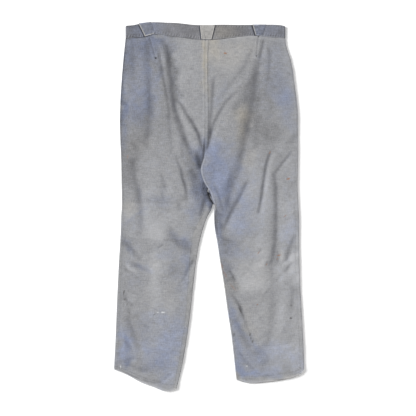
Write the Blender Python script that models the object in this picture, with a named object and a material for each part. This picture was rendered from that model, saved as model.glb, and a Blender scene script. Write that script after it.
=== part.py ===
"""Work trousers laid flat on their front, seen from the back, in metres with +Z up.

X runs to the wearer's right, Y from the hems to the waist, and the front lies on Z = 0.
Each sewn piece is one cloth wall. Its points come from sections across the garment, a row of
each table below, and from a list of folds that lift or sink the upper layer.
Tables and lengths are in millimetres until a mesh is made.
"""

from collections import namedtuple

import bmesh
import bpy
import numpy as np

METRES = 0.001

# Cloth walls and the gap kept between sewn pieces
PANEL_WALL = 1.3
BAND_WALL = 2.0
LOOP_WALL = 1.6
SEAM_GAP = 0.3

# Heights of the upper layer's outer face over the floor
UPPER_REST = 4.4
UPPER_LEAST = 2 * PANEL_WALL + SEAM_GAP
SIDE_LIFT = 2.0
SIDE_LIFT_WIDTH = 26.0
BAND_TOP = 8.2
BAND_SIDE_TOP = 7.0
BAND_WAVE = 0.3
BAND_WAVE_LENGTH = 21.0
BAND_WRAP = 1.0
BAND_WRAP_RADIUS = 0.4

# Turned hem, felled centre back seam and the edge that laps over the fork
HEM_DEPTH = 12.0
HEM_LIFT = 0.9
HEM_STEP = 1.0
HEM_CLEAR = 6.0
FELL_HALF_WIDTH = 7.5
FELL_LIFT = 0.8
FELL_FOOT = 1.5
LAP_LIFT = 4.2
LAP_WIDTH = 34.0
LAP_TOP_Y = 118.0
LAP_FOOT_Y = -18.0
LAP_FADE = 26.0

# Grid pitches
ROW_PITCH = 18.5
BACK_COLUMNS = 13
FLOOR_COLUMNS = 8
ROLL_STEPS = 4
ROLL_RADIUS = 3.2
ROLL_SHARE = 0.85
LEAST_LEG_TURN = 3.6
BAND_ROWS = (0.0, 0.35, 0.7, 1.0)

# The front is a little shorter than the back at the waist, and longer at the right hem
FRONT_WAIST_DROP = 6.0
FRONT_HEM_PEEK = 2.0
FRONT_FADE_SHARE = 0.08
EDGE_FADE = 95.0

# Fly and waist closure, hidden between the layers
SHIELD_WIDTH = 40.0
SHIELD_TOP_Y = 440.0
SHIELD_FOOT_Y = 235.0
TAB_LENGTH = 42.0
TAB_SLOPE = 9.0
TAB_RISE = 15.0
HOOK_LENGTH = 14.0
HOOK_WIDTH = 10.0
HOOK_THICK = 0.8
HOOK_INSET = 12.0
CLOSURE_HALF_WIDTH = 62.0

# One section across a half: side edge, inner edge, how far the front turns on to the back at
# each of them, and where the front ends at the centre front above the fork
Section = namedtuple("Section", "side_x side_y side_turn inner_x inner_y inner_turn front_x")

LEFT_SECTIONS = [
    Section(-229.4, 461.5, 3.5, -9.6, 456.0, 0.0, -0.15),
    Section(-235.5, 403.0, 3.5, -11.9, 403.0, 0.0, -0.15),
    Section(-241.2, 330.0, 3.5, -11.2, 330.0, 0.0, -0.15),
    Section(-244.6, 260.0, 3.5, -10.6, 260.0, 0.0, -0.15),
    Section(-244.4, 197.0, 3.5, -11.0, 200.0, 0.0, -0.15),
    Section(-242.0, 140.0, 4.0, -13.6, 137.0, 0.0, -0.15),
    Section(-241.0, 100.0, 4.0, -22.6, 100.0, 0.0, -0.15),
    Section(-240.4, 62.0, 4.5, -11.3, 62.0, 0.0, -0.6),
    Section(-240.0, 40.0, 5.0, -1.8, 40.0, 3.6, -4.0),
    Section(-239.8, 22.0, 5.0, 4.6, 22.0, 13.0, 0.0),
    Section(-239.8, 6.0, 5.0, 9.6, 6.0, 20.0, 0.0),
    Section(-240.4, -10.0, 5.0, 5.5, -10.0, 19.5, 0.0),
    Section(-241.4, -26.0, 5.5, -3.5, -26.0, 17.0, 0.0),
    Section(-242.6, -65.0, 6.5, -17.6, -65.0, 23.0, 0.0),
    Section(-244.0, -95.0, 7.0, -25.4, -95.0, 22.0, 0.0),
    Section(-247.0, -140.0, 8.0, -33.7, -140.0, 19.0, 0.0),
    Section(-250.3, -205.0, 9.0, -42.0, -205.0, 14.5, 0.0),
    Section(-254.1, -290.0, 9.5, -51.0, -290.0, 12.5, 0.0),
    Section(-257.1, -367.0, 9.5, -62.3, -372.0, 11.5, 0.0),
    Section(-259.3, -410.0, 9.5, -73.5, -436.0, 11.0, 0.0),
    Section(-261.2, -447.0, 9.5, -88.8, -500.0, 11.0, 0.0),
]
LEFT_FORK_ROW = 8

RIGHT_SECTIONS = [
    Section(209.6, 462.4, 3.5, -9.6, 456.0, 0.0, 0.15),
    Section(211.8, 444.0, 3.5, -10.5, 440.0, 0.0, 0.15),
    Section(224.5, 403.0, 3.5, -11.9, 403.0, 0.0, 0.15),
    Section(236.0, 330.0, 3.5, -11.2, 330.0, 0.0, 0.15),
    Section(244.0, 260.0, 4.0, -10.6, 260.0, 0.0, 0.15),
    Section(244.8, 197.0, 5.0, -11.0, 200.0, 0.0, 0.15),
    Section(244.8, 140.0, 6.0, -13.6, 137.0, 0.0, 0.15),
    Section(244.2, 100.0, 7.0, -22.6, 100.0, 0.0, 0.15),
    Section(243.2, 62.0, 8.0, -10.8, 62.0, 0.0, 0.3),
    Section(243.6, 40.0, 8.5, 3.4, 40.0, 0.0, -1.3),
    Section(244.8, 22.0, 9.0, 9.0, 22.0, 0.0, 5.3),
    Section(245.6, 5.0, 9.5, 13.4, 5.0, 3.6, 0.0),
    Section(246.0, -10.0, 10.0, 13.9, -10.0, 6.5, 0.0),
    Section(247.2, -26.0, 10.5, 14.0, -26.0, 9.0, 0.0),
    Section(247.6, -65.0, 11.0, 16.5, -65.0, 7.5, 0.0),
    Section(247.8, -95.0, 11.0, 22.0, -95.0, 5.0, 0.0),
    Section(248.3, -141.0, 11.0, 29.0, -141.0, 4.5, 0.0),
    Section(250.0, -205.0, 11.0, 39.6, -205.0, 4.5, 0.0),
    Section(254.4, -285.0, 11.0, 50.9, -285.0, 4.5, 0.0),
    Section(258.2, -356.0, 11.0, 61.6, -356.0, 4.5, 0.0),
    Section(260.4, -402.0, 11.0, 68.2, -412.0, 4.5, 0.0),
    Section(261.2, -447.0, 11.0, 75.1, -476.0, 4.5, 0.0),
]
RIGHT_FORK_ROW = 11

# How an edge across a half bows up from the straight line between its corners
Bow = namedtuple("Bow", "share rise")

LEFT_WAIST_BOW = [
    Bow(0.0, 0),
    Bow(0.19, 4),
    Bow(0.29, 9),
    Bow(0.4, 13.5),
    Bow(0.54, 10),
    Bow(0.8, 4.5),
    Bow(1.0, 0),
]
LEFT_HEM_BOW = [
    Bow(0.0, 0),
    Bow(0.18, -3),
    Bow(0.44, -13),
    Bow(0.63, -15),
    Bow(0.8, -17),
    Bow(0.92, -10),
    Bow(1.0, 0),
]
RIGHT_WAIST_BOW = [
    Bow(0.0, 0),
    Bow(0.14, 2.5),
    Bow(0.3, 7),
    Bow(0.45, 9),
    Bow(0.58, 7),
    Bow(0.76, 4),
    Bow(1.0, 0),
]
RIGHT_HEM_BOW = [
    Bow(0.0, 0),
    Bow(0.06, -11),
    Bow(0.16, -17),
    Bow(0.3, -19),
    Bow(0.6, -18),
    Bow(0.8, -14),
    Bow(1.0, 0),
]

# The waistband's top edge at shares of the way from the side to the centre back
BandTop = namedtuple("BandTop", "share y")

LEFT_BAND_TOP = [
    BandTop(0.0, 496),
    BandTop(0.1, 498),
    BandTop(0.17, 501),
    BandTop(0.28, 505),
    BandTop(0.4, 506),
    BandTop(0.5, 505),
    BandTop(0.65, 503.5),
    BandTop(0.75, 501),
    BandTop(0.85, 498.5),
    BandTop(1.0, 497.6),
]
RIGHT_BAND_TOP = [
    BandTop(0.0, 495),
    BandTop(0.04, 497),
    BandTop(0.1, 498.4),
    BandTop(0.2, 499),
    BandTop(0.4, 498.5),
    BandTop(0.6, 498.3),
    BandTop(0.8, 498.8),
    BandTop(1.0, 497.6),
]

# A fold runs through three points, and lifts or sinks the cloth by its height over its width
Fold = namedtuple("Fold", "x0 y0 x1 y1 x2 y2 width height")

FOLDS = [
    # From the left dart down to the fork, a deep valley with the seat's roll beside it
    Fold(-124, 448, -97, 293, -50, 142, 15, -2.6),
    Fold(-92, 420, -70, 300, -32, 190, 30, 2.6),
    Fold(-87, 293, -49, 232, -28, 176, 12, -1.8),
    Fold(-168, 440, -168, 310, -165, 190, 24, 1.6),
    Fold(-140, 380, -150, 270, -120, 150, 26, -1.2),
    # Left thigh
    Fold(-90, 140, -69, 66, -64, 24, 15, -1.8),
    Fold(-212, 155, -198, 45, -184, -60, 22, -1.5),
    Fold(-130, 120, -118, 20, -122, -70, 34, 1.8),
    # Left storage creases and knee
    Fold(-236, 10, -148, 12, -60, 8, 11, -1.3),
    Fold(-236, -88, -148, -86, -42, -86, 11, -1.5),
    Fold(-236, -66, -140, -62, -50, -64, 20, 1.6),
    Fold(-236, -104, -210, -124, -186, -150, 13, -1.6),
    Fold(-214, -150, -180, -166, -152, -182, 13, -1.4),
    Fold(-45, -138, -58, -166, -74, -194, 13, -1.8),
    # Left shin
    Fold(-190, -257, -153, -272, -114, -286, 12, 1.3),
    Fold(-225, -210, -196, -320, -190, -430, 30, 1.8),
    Fold(-118, -200, -120, -320, -128, -460, 30, 1.6),
    Fold(-160, -260, -158, -350, -160, -450, 24, -1.4),
    # Fork pocket
    Fold(-40, 152, -33, 128, -29, 104, 9, -1.6),
    # Right seat and its sharp edged valley
    Fold(145, 440, 120, 301, 77, 80, 15, -2.6),
    Fold(165, 430, 142, 290, 104, 90, 26, 2.4),
    Fold(60, 332, 20, 243, 2, 190, 14, -2.0),
    Fold(80, 420, 62, 300, 40, 180, 32, 2.2),
    Fold(208, 400, 215, 300, 210, 190, 28, -1.4),
    # Right thigh
    Fold(160, 138, 147, 40, 134, -22, 15, -1.9),
    Fold(217, 146, 194, 116, 180, 90, 15, -1.7),
    Fold(181, 92, 183, -10, 178, -118, 16, -1.7),
    Fold(216, 90, 214, -20, 210, -110, 28, 1.7),
    Fold(106, 68, 66, 2, 37, -64, 18, -2.0),
    Fold(112, 20, 92, -50, 74, -120, 28, 1.8),
    Fold(18, -7, 31, -23, 50, -31, 11, -1.8),
    # Right storage crease and knee
    Fold(30, -84, 90, -94, 140, -92, 12, -1.3),
    Fold(238, -124, 196, -182, 152, -243, 15, -1.9),
    Fold(234, -86, 222, -120, 207, -160, 14, -1.4),
    Fold(57, -234, 84, -284, 110, -340, 14, -1.8),
    # Right shin
    Fold(70, -310, 94, -357, 123, -405, 16, -1.8),
    Fold(150, -250, 150, -350, 152, -440, 34, 2.0),
    Fold(134, -396, 196, -390, 254, -378, 12, -1.3),
    Fold(222, -230, 226, -320, 228, -400, 24, 1.6),
]
FOLD_SAMPLES = 25
FOLD_END_SHARE = 0.18
FOLD_END_HEIGHT = 0.25

# Corners of the tapered belt loops, in the order top left, top right, foot right, foot left
Loop = namedtuple("Loop", "name corners lift")

LOOPS = [
    Loop("loop_centre", [(-25.0, 498.4), (16.6, 498.4), (7.2, 459.0), (-20.6, 459.0)], 1.9),
    Loop("loop_left", [(-193.6, 503.2), (-159.0, 506.6), (-150.2, 474.6), (-175.6, 467.2)], 1.6),
    Loop("loop_right", [(119.2, 499.4), (157.0, 499.4), (145.5, 471.6), (128.6, 470.2)], 1.6),
]
LOOP_STEPS = 6

# Colour, roughness and metallic value of each sewn piece
Finish = namedtuple("Finish", "colour roughness metallic")

FINISHES = {
    "back_left": Finish((0.30, 0.31, 0.35), 0.92, 0.0),
    "back_right": Finish((0.31, 0.32, 0.35), 0.92, 0.0),
    "front_left": Finish((0.33, 0.33, 0.33), 0.92, 0.0),
    "front_right": Finish((0.32, 0.33, 0.35), 0.92, 0.0),
    "waistband_left": Finish((0.22, 0.22, 0.24), 0.94, 0.0),
    "waistband_right": Finish((0.22, 0.22, 0.23), 0.94, 0.0),
    "loop_centre": Finish((0.40, 0.40, 0.42), 0.92, 0.0),
    "loop_left": Finish((0.34, 0.34, 0.38), 0.92, 0.0),
    "loop_right": Finish((0.30, 0.30, 0.33), 0.92, 0.0),
    "fly_shield": Finish((0.34, 0.35, 0.38), 0.92, 0.0),
    "waist_hook": Finish((0.45, 0.45, 0.46), 0.40, 1.0),
}


def smooth(stations, values, at):
    """Values at the given stations along a cubic that passes through the table's own."""
    stations, values = np.asarray(stations, float), np.asarray(values, float)
    steps = np.diff(stations)
    rises = np.diff(values) / steps
    slopes = np.empty_like(values)
    slopes[0], slopes[-1] = rises[0], rises[-1]
    slopes[1:-1] = (rises[:-1] * steps[1:] + rises[1:] * steps[:-1]) / (steps[:-1] + steps[1:])
    i = np.clip(np.searchsorted(stations, at, side="right") - 1, 0, len(steps) - 1)
    u = (at - stations[i]) / steps[i]
    return (
        values[i] * (1 + 2 * u) * (1 - u) ** 2
        + values[i + 1] * u * u * (3 - 2 * u)
        + steps[i] * (slopes[i] * u * (1 - u) ** 2 - slopes[i + 1] * u * u * (1 - u))
    )


def bell(distance, width):
    return np.exp(-((distance / width) ** 2))


def bow(table, share):
    return smooth([b.share for b in table], [b.rise for b in table], share)


def fold_relief(x, y):
    """How far all folds together lift the cloth at each point."""
    relief = np.zeros_like(x)
    t = np.linspace(0, 1, FOLD_SAMPLES)
    for fold in FOLDS:
        bend_x = 2 * fold.x1 - (fold.x0 + fold.x2) / 2
        bend_y = 2 * fold.y1 - (fold.y0 + fold.y2) / 2
        line_x = (1 - t) ** 2 * fold.x0 + 2 * t * (1 - t) * bend_x + t * t * fold.x2
        line_y = (1 - t) ** 2 * fold.y0 + 2 * t * (1 - t) * bend_y + t * t * fold.y2
        away = np.hypot(x[..., None] - line_x, y[..., None] - line_y)
        nearest = t[np.argmin(away, axis=-1)]
        ends = np.clip(np.minimum(nearest, 1 - nearest) / FOLD_END_SHARE, 0, 1)
        taper = FOLD_END_HEIGHT + (1 - FOLD_END_HEIGHT) * ends * ends * (3 - 2 * ends)
        relief += fold.height * taper * bell(away.min(axis=-1), fold.width)
    return relief


class Half:
    """The rows of one half of the garment, from its waist seam to its hem."""

    def __init__(self, sections, fork_section, waist_bow, hem_bow, band_top):
        self.sign = np.sign(sections[0].side_x)
        self.waist_bow, self.hem_bow, self.band_top = waist_bow, hem_bow, band_top
        stations = [0.0]
        at = [0.0]
        for above, below in zip(sections, sections[1:]):
            length = (above.side_y - below.side_y + above.inner_y - below.inner_y) / 2
            steps = max(1, round(length / ROW_PITCH))
            at += [stations[-1] + length * (n + 1) / steps for n in range(steps)]
            stations.append(stations[-1] + length)
        hem_rows = [stations[-1] - HEM_DEPTH, stations[-1] - HEM_DEPTH + HEM_STEP]
        clear_of_hem = [a for a in at if not hem_rows[0] - HEM_CLEAR < a < stations[-1]]
        at = np.array(sorted(clear_of_hem + hem_rows))
        self.at, self.length = at, stations[-1]
        for column in Section._fields:
            setattr(self, column, smooth(stations, [getattr(s, column) for s in sections], at))
        self.fork_row = int(np.argmin(np.abs(at - stations[fork_section])))

    def row(self, name):
        return getattr(self, name)[:, None]

    def place(self, share, front):
        """The y of points at a share of the way from the side to the inner edge."""
        y = self.row("side_y") + (self.row("inner_y") - self.row("side_y")) * share
        near_waist = np.clip(1 - self.at / EDGE_FADE, 0, 1)[:, None] ** 2
        near_hem = np.clip(1 - (self.length - self.at) / EDGE_FADE, 0, 1)[:, None] ** 2
        waist_rise = bow(self.waist_bow, share)
        if front:
            from_side = np.clip(share / FRONT_FADE_SHARE, 0, 1)
            from_seams = np.clip(np.minimum(share, 1 - share) / FRONT_FADE_SHARE, 0, 1)
            waist_rise = waist_rise * (1 - from_side) - FRONT_WAIST_DROP * from_side
            y = y - FRONT_HEM_PEEK * (self.sign > 0) * near_hem * from_seams
        return y + waist_rise * near_waist + bow(self.hem_bow, share) * near_hem

    def upper_height(self, x, y, share):
        """The outer face of the upper layer: rest height, edges, seams, folds and the lap."""
        width = np.abs(self.row("inner_x") - self.row("side_x"))
        from_side, from_inner = share * width, (1 - share) * width
        has_leg_edge = np.arange(len(self.at))[:, None] >= self.fork_row
        lift = bell(from_side, SIDE_LIFT_WIDTH) + bell(from_inner, SIDE_LIFT_WIDTH) * has_leg_edge
        height = UPPER_REST + SIDE_LIFT * lift + fold_relief(x, y)
        near_hem = self.length - self.at[:, None] < HEM_DEPTH - HEM_STEP / 2
        height += HEM_LIFT * near_hem
        beside = np.abs(x - SHIELD_WIDTH / 2) - SHIELD_WIDTH / 2
        below = SHIELD_FOOT_Y - y
        over_shield = np.clip(2 - np.maximum(beside, below) / ROW_PITCH, 0, 1)
        height = np.maximum(height, UPPER_LEAST + (PANEL_WALL + SEAM_GAP) * over_shield)
        fell = np.clip((FELL_HALF_WIDTH + FELL_FOOT - from_inner) / FELL_FOOT, 0, 1)
        height += FELL_LIFT * fell * ~has_leg_edge
        if self.sign > 0:
            above = 1 / (1 + np.exp(-(LAP_TOP_Y - y) / (LAP_FADE / 4)))
            below = 1 / (1 + np.exp(-(y - LAP_FOOT_Y) / (LAP_FADE / 4)))
            height += LAP_LIFT * above * below * bell(from_inner, LAP_WIDTH)
        return height


LEFT = Half(LEFT_SECTIONS, LEFT_FORK_ROW, LEFT_WAIST_BOW, LEFT_HEM_BOW, LEFT_BAND_TOP)
RIGHT = Half(RIGHT_SECTIONS, RIGHT_FORK_ROW, RIGHT_WAIST_BOW, RIGHT_HEM_BOW, RIGHT_BAND_TOP)


def back_columns(half):
    """Shares across the upper panel in every row, closer together at the inner seam."""
    width = np.abs(half.row("inner_x") - half.row("side_x"))
    first = (half.row("side_turn") + SEAM_GAP / 2) / width
    last = 1 - (half.row("inner_turn") + SEAM_GAP / 2) / width
    fell = FELL_HALF_WIDTH / width, (FELL_HALF_WIDTH + FELL_FOOT) / width
    middle = np.linspace(0, 1, BACK_COLUMNS)[None, :]
    shares = first + (last - fell[1] - first) * middle
    return np.hstack([shares, last - fell[0], last])


def back_panel(half):
    share = back_columns(half)
    x = half.row("side_x") + (half.row("inner_x") - half.row("side_x")) * share
    y = half.place(share, front=False)
    top = half.upper_height(x, y, share)
    outer = np.stack([x, y, top], axis=-1)
    inner = np.stack([x, y, top - PANEL_WALL], axis=-1)
    return outer, inner, np.ones((x.shape[0] - 1, x.shape[1] - 1), bool)


def turned_edge(half, edge_x, turn, inward, wall, heights):
    """Columns that turn up from the floor round an edge and lie on top as far as the seam."""
    radius = np.minimum(ROLL_RADIUS, turn * ROLL_SHARE)
    angles = np.linspace(-np.pi / 2, np.pi / 2, ROLL_STEPS + 1)[None, :]
    seam = edge_x + inward * (turn - SEAM_GAP / 2)
    outer_x = edge_x + inward * radius * (1 - np.cos(angles))
    inner_x = edge_x + inward * (wall + (radius - wall) * (1 - np.cos(angles)))
    up = (1 + np.sin(angles)) / 2
    outer_x = np.hstack([outer_x, seam])
    inner_x = np.hstack([inner_x, seam])
    up = np.hstack([up, np.ones((1, 1))])
    top = heights(outer_x)
    return outer_x, inner_x, top * up, wall + (top - 2 * wall) * up


def floor_columns(side_x, width, end):
    """Columns on the floor between the turned side and the inner edge, in every row."""
    start = side_x + FRONT_FADE_SHARE * width
    across = np.linspace(0, 1, FLOOR_COLUMNS + 1)[None, :-1]
    return start + (end - start) * across


def front_panel(half):
    """The lower panel: flat on the floor, turned up at the side and at the inner leg."""
    inward = -half.sign
    side_x, inner_x = half.row("side_x"), half.row("inner_x")
    width = inner_x - side_x

    def upper_at(x):
        share = np.clip((x - side_x) / width, 0, 1)
        return half.upper_height(x, half.place(share, front=True), share)

    side = turned_edge(half, side_x, half.row("side_turn"), inward, PANEL_WALL, upper_at)
    leg = turned_edge(half, inner_x, np.maximum(half.row("inner_turn"), LEAST_LEG_TURN), -inward, PANEL_WALL, upper_at)
    rows = np.arange(len(half.at))[:, None]
    floor_end = np.where(rows >= half.fork_row, leg[0][:, :1], half.row("front_x"))
    floor_x = floor_columns(side_x, width, floor_end)
    end_x = np.hstack([floor_end, leg[0][:, 1:]])
    outer_x = np.hstack([side[0][:, ::-1], floor_x, end_x])
    inner_floor_end = np.where(rows >= half.fork_row, leg[1][:, :1], half.row("front_x"))
    inner_x_all = np.hstack([side[1][:, ::-1], floor_x, inner_floor_end, leg[1][:, 1:]])
    flat = np.zeros_like(floor_x)
    outer_z = np.hstack([side[2][:, ::-1], flat, leg[2]])
    inner_z = np.hstack([side[3][:, ::-1], flat + PANEL_WALL, leg[3]])
    share = np.clip((outer_x - side_x) / width, 0, 1)
    y = half.place(share, front=True)
    outer = np.stack([outer_x, y, outer_z], axis=-1)
    inner = np.stack([inner_x_all, y, inner_z], axis=-1)
    used = np.ones((outer.shape[0] - 1, outer.shape[1] - 1), bool)
    used[: half.fork_row, -(ROLL_STEPS + 1) :] = False
    return outer, inner, used


def build_piece(name, outer, inner, used):
    """One closed body: the outer grid, the inner grid facing the other way, and the rim."""
    mesh = bmesh.new()
    layers = []
    wanted = np.zeros(outer.shape[:2], bool)
    for row, column in np.argwhere(used):
        wanted[row : row + 2, column : column + 2] = True
    for grid in (outer, inner):
        made = {}
        for row, column in np.argwhere(wanted):
            made[row, column] = mesh.verts.new(grid[row, column] * METRES)
        layers.append(made)
    over, under = layers
    edges = {}
    for row, column in np.argwhere(used):
        ring = [(row, column), (row, column + 1), (row + 1, column + 1), (row + 1, column)]
        mesh.faces.new([over[k] for k in ring])
        mesh.faces.new([under[k] for k in reversed(ring)])
        for a, b in zip(ring, ring[1:] + ring[:1]):
            if (b, a) in edges:
                del edges[b, a]
            else:
                edges[a, b] = True
    for a, b in edges:
        mesh.faces.new([over[b], over[a], under[a], under[b]])
    bmesh.ops.recalc_face_normals(mesh, faces=mesh.faces)
    data = bpy.data.meshes.new(name)
    mesh.to_mesh(data)
    mesh.free()
    for polygon in data.polygons:
        polygon.use_smooth = True
    piece = bpy.data.objects.new(name, data)
    bpy.context.scene.collection.objects.link(piece)
    data.materials.append(cloth_material(name))
    return piece


def cloth_material(name):
    finish = FINISHES[name]
    material = bpy.data.materials.new(name)
    material.use_nodes = True
    shader = material.node_tree.nodes["Principled BSDF"]
    shader.inputs["Base Color"].default_value = (*finish.colour, 1.0)
    shader.inputs["Roughness"].default_value = finish.roughness
    shader.inputs["Metallic"].default_value = finish.metallic
    return material


def band_height(half, x, side_x):
    """The waistband's outer face, highest over the closure at the centre."""
    from_side = np.abs(x - side_x)
    centre = bell(x, CLOSURE_HALF_WIDTH)
    wave = BAND_WAVE * np.sin(from_side / BAND_WAVE_LENGTH)
    return BAND_SIDE_TOP + (BAND_TOP - BAND_SIDE_TOP) * centre + wave


def waistband(half):
    """From the centre back to the side, round it, and along the floor to the centre front."""
    inward = -half.sign
    side_x, inner_x = half.side_x[0], half.inner_x[0]
    width = inner_x - side_x

    angles = np.linspace(np.pi / 2, -np.pi / 2, ROLL_STEPS + 1)
    radius = min(ROLL_RADIUS, (half.side_turn[0] + BAND_WRAP) * ROLL_SHARE) + BAND_WRAP_RADIUS
    back_x = (side_x + width * back_columns(half)[0])[:0:-1]
    roll_outer = side_x + inward * radius * (1 - np.cos(angles))
    roll_inner = side_x + inward * (BAND_WALL + (radius - BAND_WALL) * (1 - np.cos(angles)))
    if half.sign < 0:
        slope = [-TAB_SLOPE, 0.0, TAB_LENGTH]
    else:
        slope = [0.15]
    floor_x = np.concatenate([floor_columns(side_x, width, half.front_x[0])[0], slope])
    outer_x = np.concatenate([back_x, roll_outer, floor_x])
    inner_x_all = np.concatenate([back_x, roll_inner, floor_x])
    top = band_height(half, outer_x, side_x)
    roll_up = (1 + np.sin(angles)) / 2
    up = np.concatenate([np.ones(len(back_x)), roll_up, np.zeros(len(floor_x))])
    outer_z = top * up
    inner_z = BAND_WALL + (top - 2 * BAND_WALL) * up
    if half.sign < 0:
        step = BAND_WALL + HOOK_THICK + 2 * SEAM_GAP
        outer_z[-2:] += step
        inner_z[-2:] += step
    on_front = 1 - up
    share = np.clip((outer_x - side_x) / width, 0, 1)
    every_row = share[None, :] * np.ones((len(half.at), 1))
    low_y = half.place(every_row, front=False)[0] * up + half.place(every_row, front=True)[0] * on_front
    if half.sign < 0:
        low_y[-2:] += TAB_RISE
    top_table = [b.share for b in half.band_top], [b.y for b in half.band_top]
    high_y = smooth(*top_table, share) - FRONT_WAIST_DROP * on_front
    outer, inner = [], []
    for climb in BAND_ROWS:
        y = low_y + SEAM_GAP + (high_y - low_y - SEAM_GAP) * climb
        outer.append(np.stack([outer_x, y, outer_z], axis=-1))
        inner.append(np.stack([inner_x_all, y, inner_z], axis=-1))
    outer, inner = np.array(outer), np.array(inner)
    return outer, inner, np.ones((outer.shape[0] - 1, outer.shape[1] - 1), bool)


def belt_loop(loop):
    """A tapered strap sewn down at its top and foot, and a little proud between them."""
    corners = np.array(loop.corners, float)
    across = np.linspace(0, 1, LOOP_STEPS + 1)[None, :, None]
    down = np.linspace(0, 1, LOOP_STEPS + 1)[:, None, None]
    top_left, top_right, foot_right, foot_left = corners
    top_edge = top_left + (top_right - top_left) * across
    foot_edge = foot_left + (foot_right - foot_left) * across
    flat = top_edge + (foot_edge - top_edge) * down
    half = LEFT if corners[:, 0].mean() < LEFT.inner_x[0] else RIGHT
    x, y = flat[..., 0], flat[..., 1]
    under = band_height(half, x, half.side_x[0])
    if loop.name == "loop_centre":
        under = np.maximum(under, band_height(LEFT, x, LEFT.side_x[0]))
    under = under + 2 * SEAM_GAP + loop.lift * np.sin(np.pi * down[..., 0]) ** 2
    outer = np.stack([x, y, under + LOOP_WALL], axis=-1)
    inner = np.stack([x, y, under], axis=-1)
    return outer, inner, np.ones((LOOP_STEPS, LOOP_STEPS), bool)


def flat_strip(low, high, bottom, thickness):
    """A straight strip between two corners, at a height over the floor."""
    x = np.array([[low[0], high[0]]] * 2)
    y = np.array([[low[1]] * 2, [high[1]] * 2])
    outer = np.stack([x, y, np.full((2, 2), bottom + thickness)], axis=-1)
    inner = np.stack([x, y, np.full((2, 2), bottom)], axis=-1)
    return outer, inner, np.ones((1, 1), bool)


def fly_shield():
    low, high = (0.0, SHIELD_FOOT_Y), (SHIELD_WIDTH, SHIELD_TOP_Y)
    return flat_strip(low, high, PANEL_WALL + SEAM_GAP, PANEL_WALL)


def waist_hook():
    middle_y = (LEFT.inner_y[0] + LEFT_BAND_TOP[-1].y - FRONT_WAIST_DROP) / 2
    low = (HOOK_INSET, middle_y - HOOK_WIDTH / 2)
    high = (HOOK_INSET + HOOK_LENGTH, middle_y + HOOK_WIDTH / 2)
    return flat_strip(low, high, BAND_WALL + SEAM_GAP, HOOK_THICK)


def clear_scene():
    for item in list(bpy.data.objects):
        bpy.data.objects.remove(item, do_unlink=True)


def centre_on_box(pieces):
    """Moves every mesh so that the middle of the garment's box is over the origin."""
    points = np.array([v.co for piece in pieces for v in piece.data.vertices])
    middle = (points.min(axis=0) + points.max(axis=0)) / 2
    for piece in pieces:
        for vertex in piece.data.vertices:
            vertex.co.x -= middle[0]
            vertex.co.y -= middle[1]
    print("middle of the box in millimetres", middle[:2] / METRES)


def main():
    clear_scene()
    shapes = {
        "back_left": back_panel(LEFT),
        "back_right": back_panel(RIGHT),
        "front_left": front_panel(LEFT),
        "front_right": front_panel(RIGHT),
        "waistband_left": waistband(LEFT),
        "waistband_right": waistband(RIGHT),
        "fly_shield": fly_shield(),
        "waist_hook": waist_hook(),
    }
    for loop in LOOPS:
        shapes[loop.name] = belt_loop(loop)
    centre_on_box([build_piece(name, *grids) for name, grids in shapes.items()])


main()
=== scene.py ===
"""Faded cotton work trousers laid flat with the back up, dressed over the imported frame.

Every cloth piece is a thin wall. Its points come from sections across the garment, from a list of
folds, and from soft patches of fading, grime and painted shade, all in millimetres.
"""

import math
from collections import namedtuple

import bmesh
import bpy
import numpy as np
from bpy.props import FloatProperty, FloatVectorProperty, PointerProperty
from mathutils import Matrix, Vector
from mathutils.bvhtree import BVHTree


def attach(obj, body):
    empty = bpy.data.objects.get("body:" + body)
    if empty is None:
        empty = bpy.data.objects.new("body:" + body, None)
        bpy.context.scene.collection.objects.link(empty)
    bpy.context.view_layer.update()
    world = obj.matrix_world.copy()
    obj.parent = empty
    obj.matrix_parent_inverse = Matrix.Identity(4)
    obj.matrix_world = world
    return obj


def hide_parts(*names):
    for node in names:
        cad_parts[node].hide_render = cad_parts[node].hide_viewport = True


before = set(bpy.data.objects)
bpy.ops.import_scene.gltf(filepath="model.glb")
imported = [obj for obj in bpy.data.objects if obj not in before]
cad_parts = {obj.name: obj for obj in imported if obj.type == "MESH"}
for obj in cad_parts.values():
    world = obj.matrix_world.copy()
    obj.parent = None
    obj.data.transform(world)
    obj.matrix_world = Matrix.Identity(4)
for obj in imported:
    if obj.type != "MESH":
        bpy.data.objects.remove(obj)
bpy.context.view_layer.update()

bl_info = {
    "name": "Work Trousers",
    "version": (1, 0, 0),
    "blender": (4, 5, 0),
    "location": "3D View > Sidebar > Trousers",
    "description": "Builds faded work trousers laid flat, piece by piece",
    "category": "Add Mesh",
}

METRES = 0.001
SEAM_GAP = 0.3

# The turned hem, the felled centre back seam and the lap over the fork
HEM_DEPTH = 12.0
HEM_LIFT = 0.7
HEM_STEP = 1.6
FELL_HALF_WIDTH = 7.5
FELL_LIFT = 0.8
FELL_FOOT = 1.6
FELL_END_Y = 150.0
FELL_FADE = 30.0
LAP_LIFT = 3.9
LAP_WIDTH = 34.0
LAP_TOP_Y = 118.0
LAP_FOOT_Y = -18.0
LAP_FADE = 26.0
TUCK_WIDTH = 6.0
LEAST_TURN = 3.6

# The edge of the legs and the waistband's fold at the sides
SIDE_LIFT = 0.7
SIDE_LIFT_WIDTH = 20.0
ROLL_RADIUS = 2.3
ROLL_STEPS = 8
FLOOR_COLUMNS = 10
BAND_TOP = 8.2
BAND_SIDE_TOP = 7.0
BAND_PITCH = 1.25
BAND_ROWS = 26
# The painted highlight along the waist seam, where it catches the light, grows from this far left of the
# centre
WAIST_HIGHLIGHT_FADE = 40.0
CLOSURE_HALF_WIDTH = 62.0
FRONT_WAIST_DROP = 6.0
FRONT_HEM_PEEK = 2.0
FRONT_FADE_SHARE = 0.08
EDGE_FADE = 95.0
# Painted highlight on edges that face right, away from the key light
RIGHT_FACING_EDGE_HIGHLIGHT = 0.20

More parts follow.
